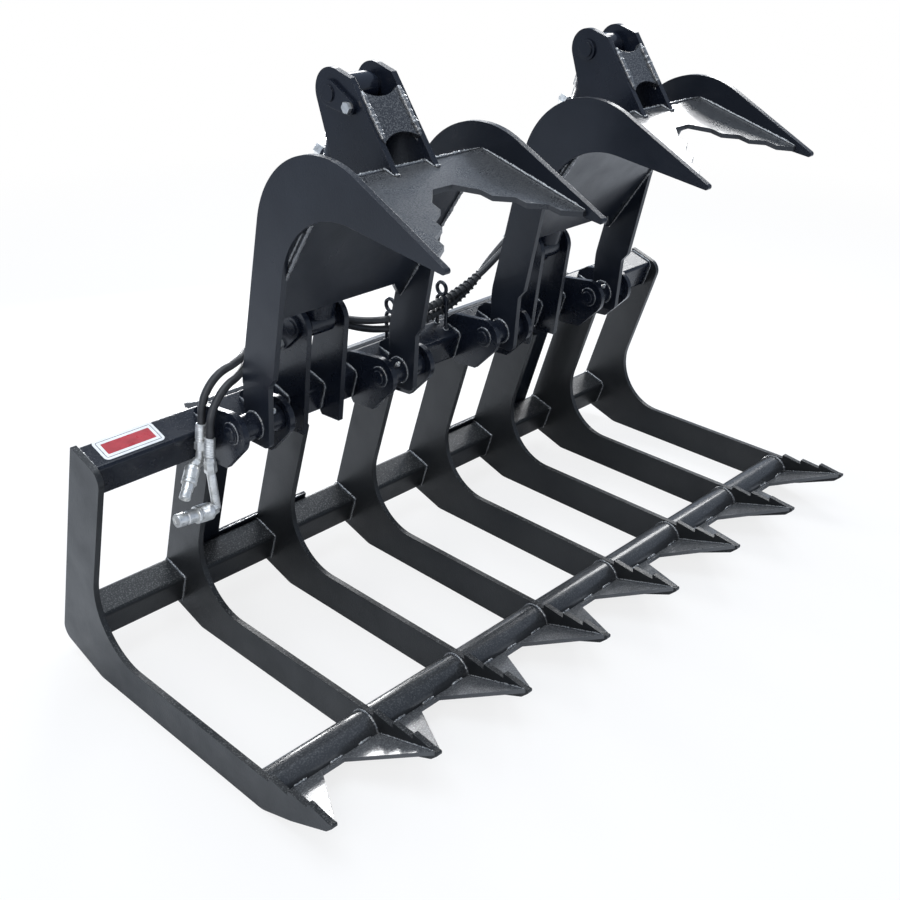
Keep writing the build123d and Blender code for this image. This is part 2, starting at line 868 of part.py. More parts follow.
for side in ("left", "right"):
    middle = lid_centers[side]
    with BuildPart() as bracket_plates:
        for start in (middle - cheek_end, middle + cheek_start):
            extrude(
                to_extrude=hull(start, rod_pin, clevis_nose_radius, bracket_corners),
                amount=clevis_plate,
                dir=along_x,
            )
            extrude(
                to_extrude=side_ring(start, rod_pin, seat_bore),
                amount=clevis_plate,
                dir=along_x,
                mode=Mode.SUBTRACT,
            )
        bolt_side = middle + mirror[side] * (cheek_start + cheek_end) / 2
        extrude(
            to_extrude=side_ring(bolt_side - clevis_plate, lid_bolt, bolt_diameter / 2 + seat_clearance),
            amount=2 * clevis_plate,
            dir=along_x,
            mode=Mode.SUBTRACT,
        )
    finish(bracket_plates, f"bracket_plates_{side}")

    filler_plane = Plane(
        origin=(middle, *place(*filler_middle)), x_dir=along_x, z_dir=(0, front_normal[0], front_normal[1])
    )
    with BuildPart() as bracket_filler:
        with BuildSketch(filler_plane):
            Rectangle(clevis_gap, filler_height)
            arc_offset = filler_height / 2 + filler_arc - 16
            with Locations((0, arc_offset), (0, -arc_offset)):
                Circle(filler_arc, mode=Mode.SUBTRACT)
        extrude(amount=-filler_thickness)
    finish(bracket_filler, f"bracket_filler_{side}")

    flag_face = middle + mirror[side] * cheek_end
    far_face = middle - mirror[side] * cheek_end
    with BuildPart() as pin_keepers:
        flag_start = min(flag_face, flag_face + mirror[side] * keeper_plate)
        extrude(to_extrude=keeper_flag(flag_start, rod_pin, lid_bolt), amount=keeper_plate, dir=along_x)
        ends = sorted(
            (
                middle + mirror[side] * cheek_start,
                flag_face + mirror[side] * (keeper_plate + pin_end_length),
            )
        )
        extrude(to_extrude=side_ring(ends[0], rod_pin, pin_radius), amount=ends[1] - ends[0], dir=along_x)
        ends = sorted(
            (
                middle - mirror[side] * cheek_start,
                far_face - mirror[side] * (collar_thickness + pin_end_length),
            )
        )
        extrude(to_extrude=side_ring(ends[0], rod_pin, pin_radius), amount=ends[1] - ends[0], dir=along_x)
        collar_start = min(far_face, far_face - mirror[side] * collar_thickness)
        extrude(
            to_extrude=side_ring(collar_start, rod_pin, collar_diameter / 2),
            amount=collar_thickness,
            dir=along_x,
        )
    finish(pin_keepers, f"pin_keepers_{side}")

    outward = mirror[side]
    seat = bolt_plane(middle + outward * (cheek_end + keeper_plate), lid_bolt, outward)
    nut = bolt_plane(middle + outward * cheek_start, lid_bolt, -outward)
    with BuildPart() as keeper_bolt:
        extrude(to_extrude=hexagon(seat, bolt_head_flats), amount=bolt_head_height, dir=seat.z_dir)
        extrude(
            to_extrude=ring(seat, bolt_diameter / 2), amount=clevis_plate + keeper_plate + 14, dir=nut.z_dir
        )
        extrude(to_extrude=hexagon(nut, bolt_head_flats), amount=10, dir=nut.z_dir)
    finish(keeper_bolt, f"keeper_bolt_{side}")

# Cylinders

pin_distance = math.hypot(rod_pin_y - base_pin_y, rod_pin_z - base_pin_z)
barrel_radius = barrel_diameter / 2
bore_radius = bore_diameter / 2
rod_radius = rod_diameter / 2
eye_radius = eye_diameter / 2
boss_reach = clevis_gap / 2 - boss_side_gap
piston_start = base_cap + eye_radius - 2 + 2.0
steel_line_off = 58.0


def axis_plane(middle, along, off=0.0, across=0.0):
    """A plane square to the cylinder's axis; off is toward its back, across is along X."""
    point = shifted(shifted(base_pin, axis_direction, along), back_direction, off)
    return Plane(
        origin=(middle + across, *place(*point)),
        x_dir=along_x,
        z_dir=(0, axis_direction[0], axis_direction[1]),
    )


def back_plane(middle, along, off):
    """A plane facing the back of the cylinder."""
    point = shifted(shifted(base_pin, axis_direction, along), back_direction, off)
    return Plane(
        origin=(middle, *place(*point)), x_dir=along_x, z_dir=(0, back_direction[0], back_direction[1])
    )


def space_point(middle, along, off):
    """A point in space beside the cylinder's axis."""
    point = shifted(shifted(base_pin, axis_direction, along), back_direction, off)
    return Vector(middle, *place(*point))


def space_ring(start, end, radius):
    """A disc at the start of a straight run, square to it."""
    with BuildSketch(Plane(origin=start, z_dir=(end - start).normalized())) as shape:
        Circle(radius)
    return shape.sketch


tee_point_a = (-205.0, 738.0)
tee_point_b = (-180.0, 728.0)
leg_drop = 26.0
leg_angle = 30.0
leg_cos = math.cos(math.radians(leg_angle))
leg_sin = math.sin(math.radians(leg_angle))

for side in ("left", "right"):
    middle = lid_centers[side]
    up = axis_plane(middle, 0).z_dir
    back = back_plane(middle, 0, 0).z_dir
    with BuildPart() as barrel:
        cap_start = eye_radius - 4
        extrude(
            to_extrude=ring(axis_plane(middle, cap_start), barrel_radius),
            amount=gland_start - cap_start,
            dir=up,
        )
        for along in (base_port_along, rod_port_along):
            extrude(
                to_extrude=ring(back_plane(middle, along, 20), 14),
                amount=barrel_radius - 20 + 12,
                dir=back,
            )
        extrude(
            to_extrude=ring(axis_plane(middle, piston_start - 2), bore_radius),
            amount=500,
            dir=up,
            mode=Mode.SUBTRACT,
        )
        extrude(
            to_extrude=side_ring(middle - eye_width / 2, base_pin, eye_radius),
            amount=eye_width,
            dir=along_x,
        )
        extrude(
            to_extrude=side_ring(middle - boss_reach, base_pin, boss_diameter / 2),
            amount=2 * boss_reach,
            dir=along_x,
        )
        for along in (base_port_along, rod_port_along):
            extrude(
                to_extrude=ring(back_plane(middle, along, 25), 5), amount=60, dir=back, mode=Mode.SUBTRACT
            )
        extrude(
            to_extrude=side_ring(middle - 60, base_pin, sleeve_bore),
            amount=120,
            dir=along_x,
            mode=Mode.SUBTRACT,
        )
    finish(barrel, f"barrel_{side}")

    with BuildPart() as gland:
        extrude(
            to_extrude=ring(
                axis_plane(middle, gland_start), gland_diameter / 2, rod_radius + running_clearance
            ),
            amount=gland_length,
            dir=up,
        )
        extrude(
            to_extrude=ring(
                axis_plane(middle, gland_start - gland_inside), bore_radius, rod_radius + running_clearance
            ),
            amount=gland_inside,
            dir=up,
        )
        with BuildSketch(axis_plane(middle, gland_start + gland_length)):
            with PolarLocations(31, 4):
                Circle(3.5)
        extrude(amount=-10, mode=Mode.SUBTRACT)
    finish(gland, f"gland_{side}")

    with BuildPart() as rod:
        extrude(
            to_extrude=ring(axis_plane(middle, piston_start), rod_stud_diameter / 2),
            amount=piston_length,
            dir=up,
        )
        extrude(
            to_extrude=ring(axis_plane(middle, piston_start + piston_length), rod_radius),
            amount=pin_distance - piston_start - piston_length,
            dir=up,
        )
        extrude(
            to_extrude=side_ring(middle - eye_width / 2, rod_pin, eye_radius),
            amount=eye_width,
            dir=along_x,
        )
        extrude(
            to_extrude=side_ring(middle - boss_reach, rod_pin, boss_diameter / 2),
            amount=2 * boss_reach,
            dir=along_x,
        )
        extrude(
            to_extrude=side_ring(middle - 60, rod_pin, seat_bore), amount=120, dir=along_x, mode=Mode.SUBTRACT
        )
    finish(rod, f"rod_{side}")

    with BuildPart() as piston:
        extrude(
            to_extrude=ring(
                axis_plane(middle, piston_start), bore_radius - running_clearance, rod_stud_diameter / 2
            ),
            amount=piston_length,
            dir=up,
        )
        for along in (10, 24):
            extrude(
                to_extrude=ring(axis_plane(middle, piston_start + along), bore_radius + 1, bore_radius - 4),
                amount=5,
                dir=up,
                mode=Mode.SUBTRACT,
            )
    finish(piston, f"piston_{side}")

    with BuildPart() as rod_pin_part:
        extrude(
            to_extrude=side_ring(middle - boss_reach, rod_pin, pin_radius), amount=2 * boss_reach, dir=along_x
        )
    finish(rod_pin_part, f"rod_pin_{side}")

    # Port fittings: an elbow at the base port, a steel line from the rod port, and hose legs
    port_face = barrel_radius + 12
    legs = (-1, 1) if side == "left" else (-1,)
    with BuildPart() as port_fittings:
        for along in (base_port_along, rod_port_along):
            extrude(
                to_extrude=hexagon(back_plane(middle, along, port_face), 26),
                amount=steel_line_off - port_face + 12,
                dir=back,
            )
        runs = [
            [
                space_point(middle, rod_port_along, steel_line_off + 8),
                space_point(middle, 112, steel_line_off + 8),
            ],
            [space_point(middle, 112, steel_line_off + 8), Vector(middle, *place(*tee_point_b))],
            [space_point(middle, base_port_along, steel_line_off), Vector(middle, *place(*tee_point_a))],
        ]
        for start, end in runs:
            extrude(
                to_extrude=space_ring(start, end, line_diameter / 2), amount=(end - start).length,
                dir=(end - start).normalized(),
            )
        with Locations(*[run[1] for run in runs]):
            Sphere(9)
        with Locations(runs[0][0]):
            Sphere(12)
        for tee in (tee_point_a, tee_point_b):
            for leg in legs:
                start = Vector(middle, *place(*tee))
                direction = Vector(leg * leg_cos, 0, -leg_sin)
                extrude(to_extrude=space_ring(start, start + direction, 8), amount=leg_drop, dir=direction)
                extrude(
                    to_extrude=hexagon(Plane(origin=start + direction * 10, z_dir=direction), 23),
                    amount=leg_drop - 10,
                    dir=direction,
                )
    finish(port_fittings, f"port_fittings_{side}")

# Hoses


def leg_end(side, leg, tee, beyond=0.0):
    """Where a fitting's leg ends and the hose on it begins, or a point further along it."""
    reach = leg_drop + beyond
    return (lid_centers[side] + leg * reach * leg_cos, tee[0], tee[1] - reach * leg_sin)


def route_radii(name, points):
    """Bend radii for a hose: 0.45 of the shorter run over the tangent of half the turn."""
    vectors = [Vector(*p) for p in points]
    radii = []
    for before, corner, after in zip(vectors, vectors[1:], vectors[2:]):
        turn = math.radians((corner - before).get_angle(after - corner))
        shorter = min((corner - before).length, (after - corner).length)
        radii.append(0.45 * shorter / math.tan(turn / 2))
    lengths = [round((b - a).length) for a, b in zip(vectors, vectors[1:])]
    print(name, "runs", lengths, "radii", [round(r) for r in radii])
    return radii


def moved(points):
    return [(x, *place(y, z)) for x, y, z in points]


cross_a_half = [
    leg_end("left", 1, tee_point_a),
    leg_end("left", 1, tee_point_a, 69),
    (-215, -205, 652),
    (-120, -207, 624),
    (0, -208, 611),
]
cross_b_half = [
    leg_end("left", 1, tee_point_b),
    leg_end("left", 1, tee_point_b, 69),
    (-215, -194, 636),
    (-120, -206, 600),
    (0, -208, 586),
]
supply_a_end = (-671.5, -272, 565.6)
supply_b_end = (-672, -299, 543)
routes = {
    "hose_a": [
        leg_end("left", -1, tee_point_a),
        leg_end("left", -1, tee_point_a, 65),
        (-508, -228, 676),
        (-565, -266, 672),
        (-622.4, -270, 664),
        (-663.4, -272, 623),
        supply_a_end,
    ],
    "hose_b": [
        leg_end("left", -1, tee_point_b),
        leg_end("left", -1, tee_point_b, 65),
        (-510, -226, 655),
        (-568, -276, 648),
        (-621, -291, 641),
        (-664, -299, 601),
        supply_b_end,
    ],
    "hose_a_cross": cross_a_half + [(-x, y, z) for x, y, z in reversed(cross_a_half[:-1])],
    "hose_b_cross": cross_b_half + [(-x, y, z) for x, y, z in reversed(cross_b_half[:-1])],
}

for name, points in routes.items():
    radii = route_radii(name, points)
    with BuildPart() as hose:
        with BuildLine() as route:
            FilletPolyline(*moved(points), radius=radii)
        with BuildSketch(Plane(origin=route.line @ 0, z_dir=route.line % 0)):
            Circle(hose_diameter / 2)
        sweep(path=route.line)
    print(name, "volume over section times length",
          round(hose.part.volume / (math.pi * hose_diameter ** 2 / 4 * route.wires()[0].length), 4))
    finish(hose, name)

# Couplers at the free hose ends: ferrule, swivel nut, elbow and the quick coupler


def ahead(name, length):
    """The point straight ahead of a hose's free end."""
    before, end = (Vector(*p) for p in routes[name][-2:])
    return tuple(end + (end - before).normalized() * length)


ferrule_a_end = ahead("hose_a", 29)
ferrule_b_end = ahead("hose_b", 38)
coupler_runs = {
    "coupler_a": [
        (supply_a_end, ferrule_a_end, ferrule_diameter / 2),
        (ferrule_a_end, (-678.5, -272, 512), 13.5),
        ((-678.5, -272, 512), (-684, -272, 490), 9.5),
        ((-684, -272, 490), (-702, -274, 482), 12.5),
        ((-702, -274, 482), (-729, -294, 459), 16),
        ((-729, -294, 459), (-752, -310, 440), 12),
    ],
    "coupler_b": [
        (supply_b_end, ferrule_b_end, ferrule_diameter / 2),
        (ferrule_b_end, (-677.2, -299, 467), 13.5),
        ((-677.2, -299, 467), (-672, -299, 386), 9.5),
        ((-672, -299, 386), (-685, -299, 382), 13.5),
        ((-685, -299, 382), (-724, -299, 386), 19),
        ((-724, -299, 386), (-770, -299, 391), 14.5),
    ],
}

for name, runs in coupler_runs.items():
    with BuildPart() as coupler:
        for index, (start, end, radius) in enumerate(runs):
            start = Vector(*moved([start])[0])
            end = Vector(*moved([end])[0])
            direction = (end - start).normalized()
            extrude(to_extrude=space_ring(start, end, radius), amount=(end - start).length, dir=direction)
            if index in (2, 3):
                with Locations(start):
                    Sphere(9.5)
    finish(coupler, name)
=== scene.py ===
import bpy
import json
import math
import random
from mathutils import Matrix, Vector


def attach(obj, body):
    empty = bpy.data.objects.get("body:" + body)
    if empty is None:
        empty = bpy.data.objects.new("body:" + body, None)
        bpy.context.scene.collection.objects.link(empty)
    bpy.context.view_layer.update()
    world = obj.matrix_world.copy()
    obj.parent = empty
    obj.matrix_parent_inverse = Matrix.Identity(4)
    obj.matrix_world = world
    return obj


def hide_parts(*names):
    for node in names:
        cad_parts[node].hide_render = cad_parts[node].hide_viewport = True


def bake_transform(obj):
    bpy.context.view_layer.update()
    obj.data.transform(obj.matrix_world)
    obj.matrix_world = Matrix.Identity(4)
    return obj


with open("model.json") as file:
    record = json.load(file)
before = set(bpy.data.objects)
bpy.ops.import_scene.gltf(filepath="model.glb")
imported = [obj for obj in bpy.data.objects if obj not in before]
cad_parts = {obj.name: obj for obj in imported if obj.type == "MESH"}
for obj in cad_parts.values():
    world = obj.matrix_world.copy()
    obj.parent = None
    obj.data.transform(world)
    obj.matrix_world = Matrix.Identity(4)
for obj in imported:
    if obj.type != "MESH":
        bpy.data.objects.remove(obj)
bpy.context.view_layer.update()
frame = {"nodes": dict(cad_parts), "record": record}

nodes = frame["nodes"]
random.seed(7)

# side-view sizes in mm: the back frame leans forward, and its back edge meets the floor at y = 0
layout = {
    "yShift": 452.0916, "lean": math.radians(17.8), "tinePitch": 259.4429, "tineCount": 8,
    "tinePlate": 12.7, "lidCentre": 373.4, "armSpacing": 406.4, "hinge": (-332.0, 557.0),
    "basePin": (-283.0, 716.0), "rodPin": (-434.0, 1216.0), "pipe": (-733.0, 47.0),
    "teeA": (-205.0, 738.0), "teeB": (-180.0, 728.0), "leg": 26.0,
    "tube": 76.2, "upperTube": (518.0, 594.2), "lowerTube": (68.0, 144.2),
    "clevis": (44.45, 57.15), "lugs": (51.8, 64.5), "guideX": 85.0, "guideY": -208.0,
}
upperLow, upperTop = layout["upperTube"]
lowerLow, lowerTop = layout["lowerTube"]
tubeFront = -layout["tube"]
clevisFaces = sorted(sign * face for sign in (-1, 1) for face in layout["clevis"])
lugFaces = sorted(sign * face for sign in (-1, 1) for face in layout["lugs"])
tineX = [-908.05 + i * layout["tinePitch"] for i in range(layout["tineCount"])]
lidX = {"left": -layout["lidCentre"], "right": layout["lidCentre"]}
armX = {side: (x - layout["armSpacing"] / 2, x + layout["armSpacing"] / 2) for side, x in lidX.items()}


def spot(x, y, z):
    return Vector((x, y + layout["yShift"], z)) / 1000  # mm in the photo frame to metres in the row frame


def leanPoint(x, across, along):
    c, s = math.cos(layout["lean"]), math.sin(layout["lean"])
    return spot(x, across * c - along * s, along * c + across * s)


def legEnd(x, leg, tee, beyond=0.0):
    # the end of a tee's left (-1) or right (1) leg, or a point further along its line
    reach = layout["leg"] + beyond
    return (x + leg * reach * math.cos(math.radians(30)), tee[0], tee[1] - reach * 0.5)


# Camera
cameraSet = {
    "place": (-1868.208, -2148.992, 1635.918), "focal": 1183.93, "centre": (468.126, 457.887), "image": 900,
    "right": (0.69164, -0.722101, 0.0143075), "down": (-0.327539, -0.331255, -0.884866),
    "ahead": (0.643702, 0.607322, -0.465625),
}
camData = bpy.data.cameras.new("photoCamera")
camObj = bpy.data.objects.new("photoCamera", camData)
bpy.context.scene.collection.objects.link(camObj)
right = Vector(cameraSet["right"])
up = -Vector(cameraSet["down"])
back = -Vector(cameraSet["ahead"])
turn = Matrix((right, up, back)).transposed().to_4x4()
camObj.matrix_world = Matrix.Translation(spot(*cameraSet["place"])) @ turn
camData.sensor_fit = "HORIZONTAL"
camData.sensor_width = 36
camData.lens = cameraSet["focal"] / cameraSet["image"] * 36
camData.shift_x = (450 - cameraSet["centre"][0]) / cameraSet["image"]
camData.shift_y = (cameraSet["centre"][1] - 450) / cameraSet["image"]
camData.clip_start = 0.05
camData.clip_end = 60
bpy.context.scene.camera = camObj
print("camera placed")


# Mesh tools
def meshObject(name, verts, faces, smooth=True, uvs=None):
    mesh = bpy.data.meshes.new(name)
    mesh.from_pydata([tuple(v) for v in verts], [], faces)
    if uvs:
        layer = mesh.uv_layers.new(name="UVMap")
        for loop in mesh.loops:
            layer.data[loop.index].uv = uvs[loop.vertex_index]
    mesh.polygons.foreach_set("use_smooth", [smooth] * len(mesh.polygons))
    mesh.update()
    obj = bpy.data.objects.new(name, mesh)
    bpy.context.scene.collection.objects.link(obj)
    return obj


def splinePoints(points, resolution=14):
    # the smooth line of a NURBS spline through a route's control points
    curve = bpy.data.curves.new("routeLine", "CURVE")
    curve.dimensions = "3D"
    line = curve.splines.new("NURBS")
    line.points.add(len(points) - 1)
    for point, p in zip(line.points, points):
        point.co = (*p, 1)
    line.order_u = 3
    line.use_endpoint_u = True
    line.resolution_u = resolution
    holder = bpy.data.objects.new("routeLine", curve)
    bpy.context.scene.collection.objects.link(holder)
    bpy.context.view_layer.update()
    mesh = bpy.data.meshes.new_from_object(holder)
    found = [v.co.copy() for v in mesh.vertices]
    bpy.data.objects.remove(holder)
    bpy.data.curves.remove(curve)
    bpy.data.meshes.remove(mesh)
    return found


def resample(points, step):
    # evenly spaced points along a line, and the line's length
    lengths = [0.0]
    for a, b in zip(points, points[1:]):
        lengths.append(lengths[-1] + (b - a).length)
    total = lengths[-1]
    count = max(2, int(round(total / step)) + 1)
    result, index = [], 0
    for i in range(count):
        want = total * i / (count - 1)
        while index < len(points) - 2 and lengths[index + 1] < want:
            index += 1
        span = max(lengths[index + 1] - lengths[index], 1e-9)
        result.append(points[index].lerp(points[index + 1], min(1, max(0, (want - lengths[index]) / span))))
    return result, total


def tubeMesh(store, points, radius, sides=20, ripple=None, closed=False, caps=True):
    # rings along a line, carried without twist; radius may be a number or a function of length and angle
    verts, faces, uvs = store
    base = len(verts)
    count = len(points)
    ahead = []
    for i in range(count):
        before = points[(i - 1) % count] if closed or i > 0 else points[0]
        after = points[(i + 1) % count] if closed or i < count - 1 else points[-1]
        ahead.append((after - before).normalized())
    side = ahead[0].orthogonal().normalized()
    run = 0.0
    for i, p in enumerate(points):
        side = (side - ahead[i] * side.dot(ahead[i])).normalized()
        other = ahead[i].cross(side)
        if i:
            run += (p - points[i - 1]).length
        for k in range(sides):
            angle = 2 * math.pi * k / sides
            r = radius * (ripple(run, angle, i / max(1, count - 1)) if ripple else 1)
            verts.append(p + side * math.cos(angle) * r + other * math.sin(angle) * r)
            uvs.append((k / sides, run))
    rings = count if closed else count - 1
    for i in range(rings):
        a = base + i * sides
        b = base + ((i + 1) % count) * sides
        for k in range(sides):
            n = (k + 1) % sides
            faces.append((a + k, a + n, b + n, b + k))
    if caps and not closed:
        faces.append(tuple(base + k for k in reversed(range(sides))))
        faces.append(tuple(base + (count - 1) * sides + k for k in range(sides)))


def lathe(store, start, direction, profile, sides=36, turnBy=0.0):
    # turned or hexagonal metal: profile is (distance along, radius) in metres
    verts, faces, uvs = store
    base = len(verts)
    direction = direction.normalized()
    side = direction.orthogonal().normalized()
    other = direction.cross(side)
    for along, r in profile:
        for k in range(sides):
            angle = 2 * math.pi * k / sides + turnBy
            verts.append(start + direction * along + side * math.cos(angle) * r + other * math.sin(angle) * r)
            uvs.append((k / sides, along))
    for i in range(len(profile) - 1):
        a, b = base + i * sides, base + (i + 1) * sides
        for k in range(sides):
            n = (k + 1) % sides
            faces.append((a + k, a + n, b + n, b + k))
    faces.append(tuple(base + k for k in reversed(range(sides))))
    faces.append(tuple(base + (len(profile) - 1) * sides + k for k in range(sides)))


# Materials
def startMaterial(name):
    mat = bpy.data.materials.new(name)
    mat.use_nodes = True
    tree = mat.node_tree
    shader = tree.nodes["Principled BSDF"]
    coords = tree.nodes.new("ShaderNodeTexCoord")
    return mat, tree, shader, coords


def noiseNode(tree, coords, scale, detail=4.0, rough=0.55, stretch=None):
    noise = tree.nodes.new("ShaderNodeTexNoise")
    noise.inputs["Scale"].default_value = scale
    noise.inputs["Detail"].default_value = detail
    noise.inputs["Roughness"].default_value = rough
    source = coords.outputs["Object"]
    if stretch:
        mapping = tree.nodes.new("ShaderNodeMapping")
        mapping.inputs["Scale"].default_value = stretch
        tree.links.new(source, mapping.inputs["Vector"])
        source = mapping.outputs["Vector"]
    tree.links.new(source, noise.inputs["Vector"])
    return noise


def rampNode(tree, source, stops):
    ramp = tree.nodes.new("ShaderNodeValToRGB")
    while len(ramp.color_ramp.elements) < len(stops):
        ramp.color_ramp.elements.new(0.5)
    for element, (place, colour) in zip(ramp.color_ramp.elements, stops):
        element.position = place
        element.color = (*colour, 1) if len(colour) == 3 else colour
    tree.links.new(source, ramp.inputs["Fac"])
    return ramp


def grey(v):
    return (v, v, v)


def bumpNode(tree, source, strength, distance, under=None):
    bump = tree.nodes.new("ShaderNodeBump")
    bump.inputs["Strength"].default_value = strength
    bump.inputs["Distance"].default_value = distance
    tree.links.new(source, bump.inputs["Height"])
    if under:
        tree.links.new(under, bump.inputs["Normal"])
    return bump


def mathNode(tree, operation, *sources):
    # each source is an output socket or a number
    node = tree.nodes.new("ShaderNodeMath")
    node.operation = operation
    for socket, source in zip(node.inputs, sources):
        if isinstance(source, float):
            socket.default_value = source
        else:
            tree.links.new(source, socket)
    return node.outputs["Value"]


def mixNode(tree, amount, colour, over):
    # lays a fixed colour over another one by the given amount
    mix = tree.nodes.new("ShaderNodeMix")
    mix.data_type = "RGBA"
    mix.inputs["B"].default_value = (*over, 1)
    tree.links.new(amount, mix.inputs["Factor"])
    tree.links.new(colour, mix.inputs["A"])
    return mix.outputs["Result"]


def directRays(tree):
    # 1 where the camera looks straight at a surface or through clear material
    rays = tree.nodes.new("ShaderNodeLightPath")
    return mathNode(tree, "MAXIMUM", rays.outputs["Is Camera Ray"], rays.outputs["Is Transmission Ray"])


def paintMaterial(name, look):
    # sprayed gloss black over mill plate: a slight blue cast, orange peel, and light specks on level faces
    # that are dust and, on some looks, painted glint
    mat, tree, shader, coords = startMaterial(name)
    patches = noiseNode(tree, coords, 5.5, 3)
    colour = rampNode(tree, patches.outputs["Fac"], [(0.3, look["dark"]), (0.7, look["light"])])
    normal = tree.nodes.new("ShaderNodeNewGeometry")
    split = tree.nodes.new("ShaderNodeSeparateXYZ")
    tree.links.new(normal.outputs["Normal"], split.inputs["Vector"])
    # light specks on upward faces: settled dust, and on the panel, lid top, bracket filler and weld looks
    # also painted glint
    level = rampNode(tree, split.outputs["Z"], [(0.25, grey(0.0)), (0.95, grey(1.0))])
    speckNoise = noiseNode(tree, coords, look["speckScale"], 2, 0.6)
    speckTo = look["speckFrom"] + 0.08
    specks = rampNode(tree, speckNoise.outputs["Fac"], [(look["speckFrom"], grey(0.0)), (speckTo, grey(1.0))])
    cover = mathNode(tree, "MULTIPLY", level.outputs["Color"], specks.outputs["Color"])
    amount = mathNode(tree, "MULTIPLY", cover, look["dustAndGlint"])
    withDustAndGlint = mixNode(tree, amount, colour.outputs["Color"], dustAndGlintColour)
    tree.links.new(withDustAndGlint, shader.inputs["Base Color"])
    wipes = noiseNode(tree, coords, 14, 5, 0.6)
    dull = look["gloss"] + 0.14
    rough = rampNode(tree, wipes.outputs["Fac"], [(0.3, grey(look["gloss"])), (0.75, grey(dull))])
    tree.links.new(rough.outputs["Color"], shader.inputs["Roughness"])
    shader.inputs["Specular IOR Level"].default_value = look["specular"]
    shader.inputs["Coat Weight"].default_value = look["coat"]
    shader.inputs["Coat Roughness"].default_value = 0.08
    peel = noiseNode(tree, coords, look["peelScale"], 2, 0.5)
    waves = noiseNode(tree, coords, 9, 2, 0.4)
    edge = tree.nodes.new("ShaderNodeBevel")
    edge.samples = 4
    edge.inputs["Radius"].default_value = 0.0016
    first = bumpNode(tree, waves.outputs["Fac"], 0.25, 0.004, edge.outputs["Normal"])
    second = bumpNode(tree, peel.outputs["Fac"], look["peel"], 0.0006, first.outputs["Normal"])
    tree.links.new(second.outputs["Normal"], shader.inputs["Normal"])
    return mat


# grey of the light specks: dust colour, also used as painted glint
dustAndGlintColour = (0.42, 0.42, 0.41)
paintLooks = {
    "gloss": {
        "dark": (0.0035, 0.005, 0.0095), "light": (0.0075, 0.01, 0.017), "gloss": 0.2,
        "specular": 0.32, "coat": 0.1, "peel": 0.35, "peelScale": 420,
        "dustAndGlint": 0.1, "speckScale": 330, "speckFrom": 0.6,
    },
    "plate": {
        "dark": (0.0045, 0.0062, 0.0105), "light": (0.0095, 0.012, 0.018), "gloss": 0.27,
        "specular": 0.34, "coat": 0.08, "peel": 0.5, "peelScale": 380,
        "dustAndGlint": 0.16, "speckScale": 300, "speckFrom": 0.57,
    },
    "tine": {
        "dark": (0.009, 0.0098, 0.0108), "light": (0.018, 0.0188, 0.0192), "gloss": 0.33,
        "specular": 0.34, "coat": 0.05, "peel": 0.6, "peelScale": 320,
        "dustAndGlint": 0.2, "speckScale": 300, "speckFrom": 0.55,
    },
    # pipe: base lifted above the black paint as a painted reflection
    "pipe": {
        "dark": (0.018, 0.019, 0.02), "light": (0.036, 0.037, 0.039), "gloss": 0.24,
        "specular": 0.45, "coat": 0.3, "peel": 0.4, "peelScale": 320,
        "dustAndGlint": 0.12, "speckScale": 280, "speckFrom": 0.52,
    },
    # lid top plates: lighter base as a painted sky sheen, dense specks as painted glint and dust
    "lidTopSheen": {
        "dark": (0.013, 0.014, 0.016), "light": (0.026, 0.027, 0.03), "gloss": 0.24,
        "specular": 0.45, "coat": 0.25, "peel": 0.5, "peelScale": 300,
        "dustAndGlint": 0.15, "speckScale": 420, "speckFrom": 0.45,
    },
    # bracket fillers: many light specks as painted glint
    "speckledGlint": {
        "dark": (0.0075, 0.0085, 0.011), "light": (0.017, 0.018, 0.021), "gloss": 0.16,
        "specular": 0.6, "coat": 0.4, "peel": 1.0, "peelScale": 260,
        "dustAndGlint": 0.34, "speckScale": 320, "speckFrom": 0.5,
    },
    # spear panels: grey base as a painted sheen on black paint, light specks as painted glint
    "panel": {
        "dark": (0.045, 0.046, 0.048), "light": (0.085, 0.086, 0.088), "gloss": 0.26,
        "specular": 0.5, "coat": 0.25, "peel": 0.6, "peelScale": 260,
        "dustAndGlint": 0.3, "speckScale": 300, "speckFrom": 0.5,
    },
    # weld beads: lighter base and heavy light specks as painted highlights
    "weld": {
        "dark": (0.016, 0.017, 0.019), "light": (0.06, 0.062, 0.066), "gloss": 0.08,
        "specular": 1.0, "coat": 1.0, "peel": 1.0, "peelScale": 420,
        "dustAndGlint": 0.75, "speckScale": 360, "speckFrom": 0.44,
    },
}
paint = {key: paintMaterial("blackPaint" + key.capitalize(), look) for key, look in paintLooks.items()}


def metalMaterial(name, dark, light, gloss, scratch, stretch=None, metal=1.0):
    mat, tree, shader, coords = startMaterial(name)
    cloud = noiseNode(tree, coords, 60, 4, 0.6)
    colour = rampNode(tree, cloud.outputs["Fac"], [(0.3, dark), (0.72, light)])
    tree.links.new(colour.outputs["Color"], shader.inputs["Base Color"])
    shader.inputs["Metallic"].default_value = metal
    wear = noiseNode(tree, coords, 240, 3, 0.6, stretch)
    rough = rampNode(tree, wear.outputs["Fac"], [(0.25, grey(gloss)), (0.8, grey(gloss + 0.2))])
    tree.links.new(rough.outputs["Color"], shader.inputs["Roughness"])
    fine = noiseNode(tree, coords, 900, 2, 0.5, stretch)
    bump = bumpNode(tree, fine.outputs["Fac"], scratch, 0.0002)
    tree.links.new(bump.outputs["Normal"], shader.inputs["Normal"])
    return mat


zincPlate = metalMaterial("zincPlatedSteel", (0.50, 0.50, 0.48), (0.84, 0.83, 0.81), 0.24, 0.3, None, 0.8)
machinedSteel = metalMaterial("machinedSteel", (0.42, 0.42, 0.42), (0.62, 0.62, 0.62), 0.25, 0.5, (1, 1, 0.1))
chromePlate = metalMaterial("hardChrome", (0.72, 0.73, 0.75), (0.86, 0.87, 0.88), 0.04, 0.15, (1, 1, 0.05))


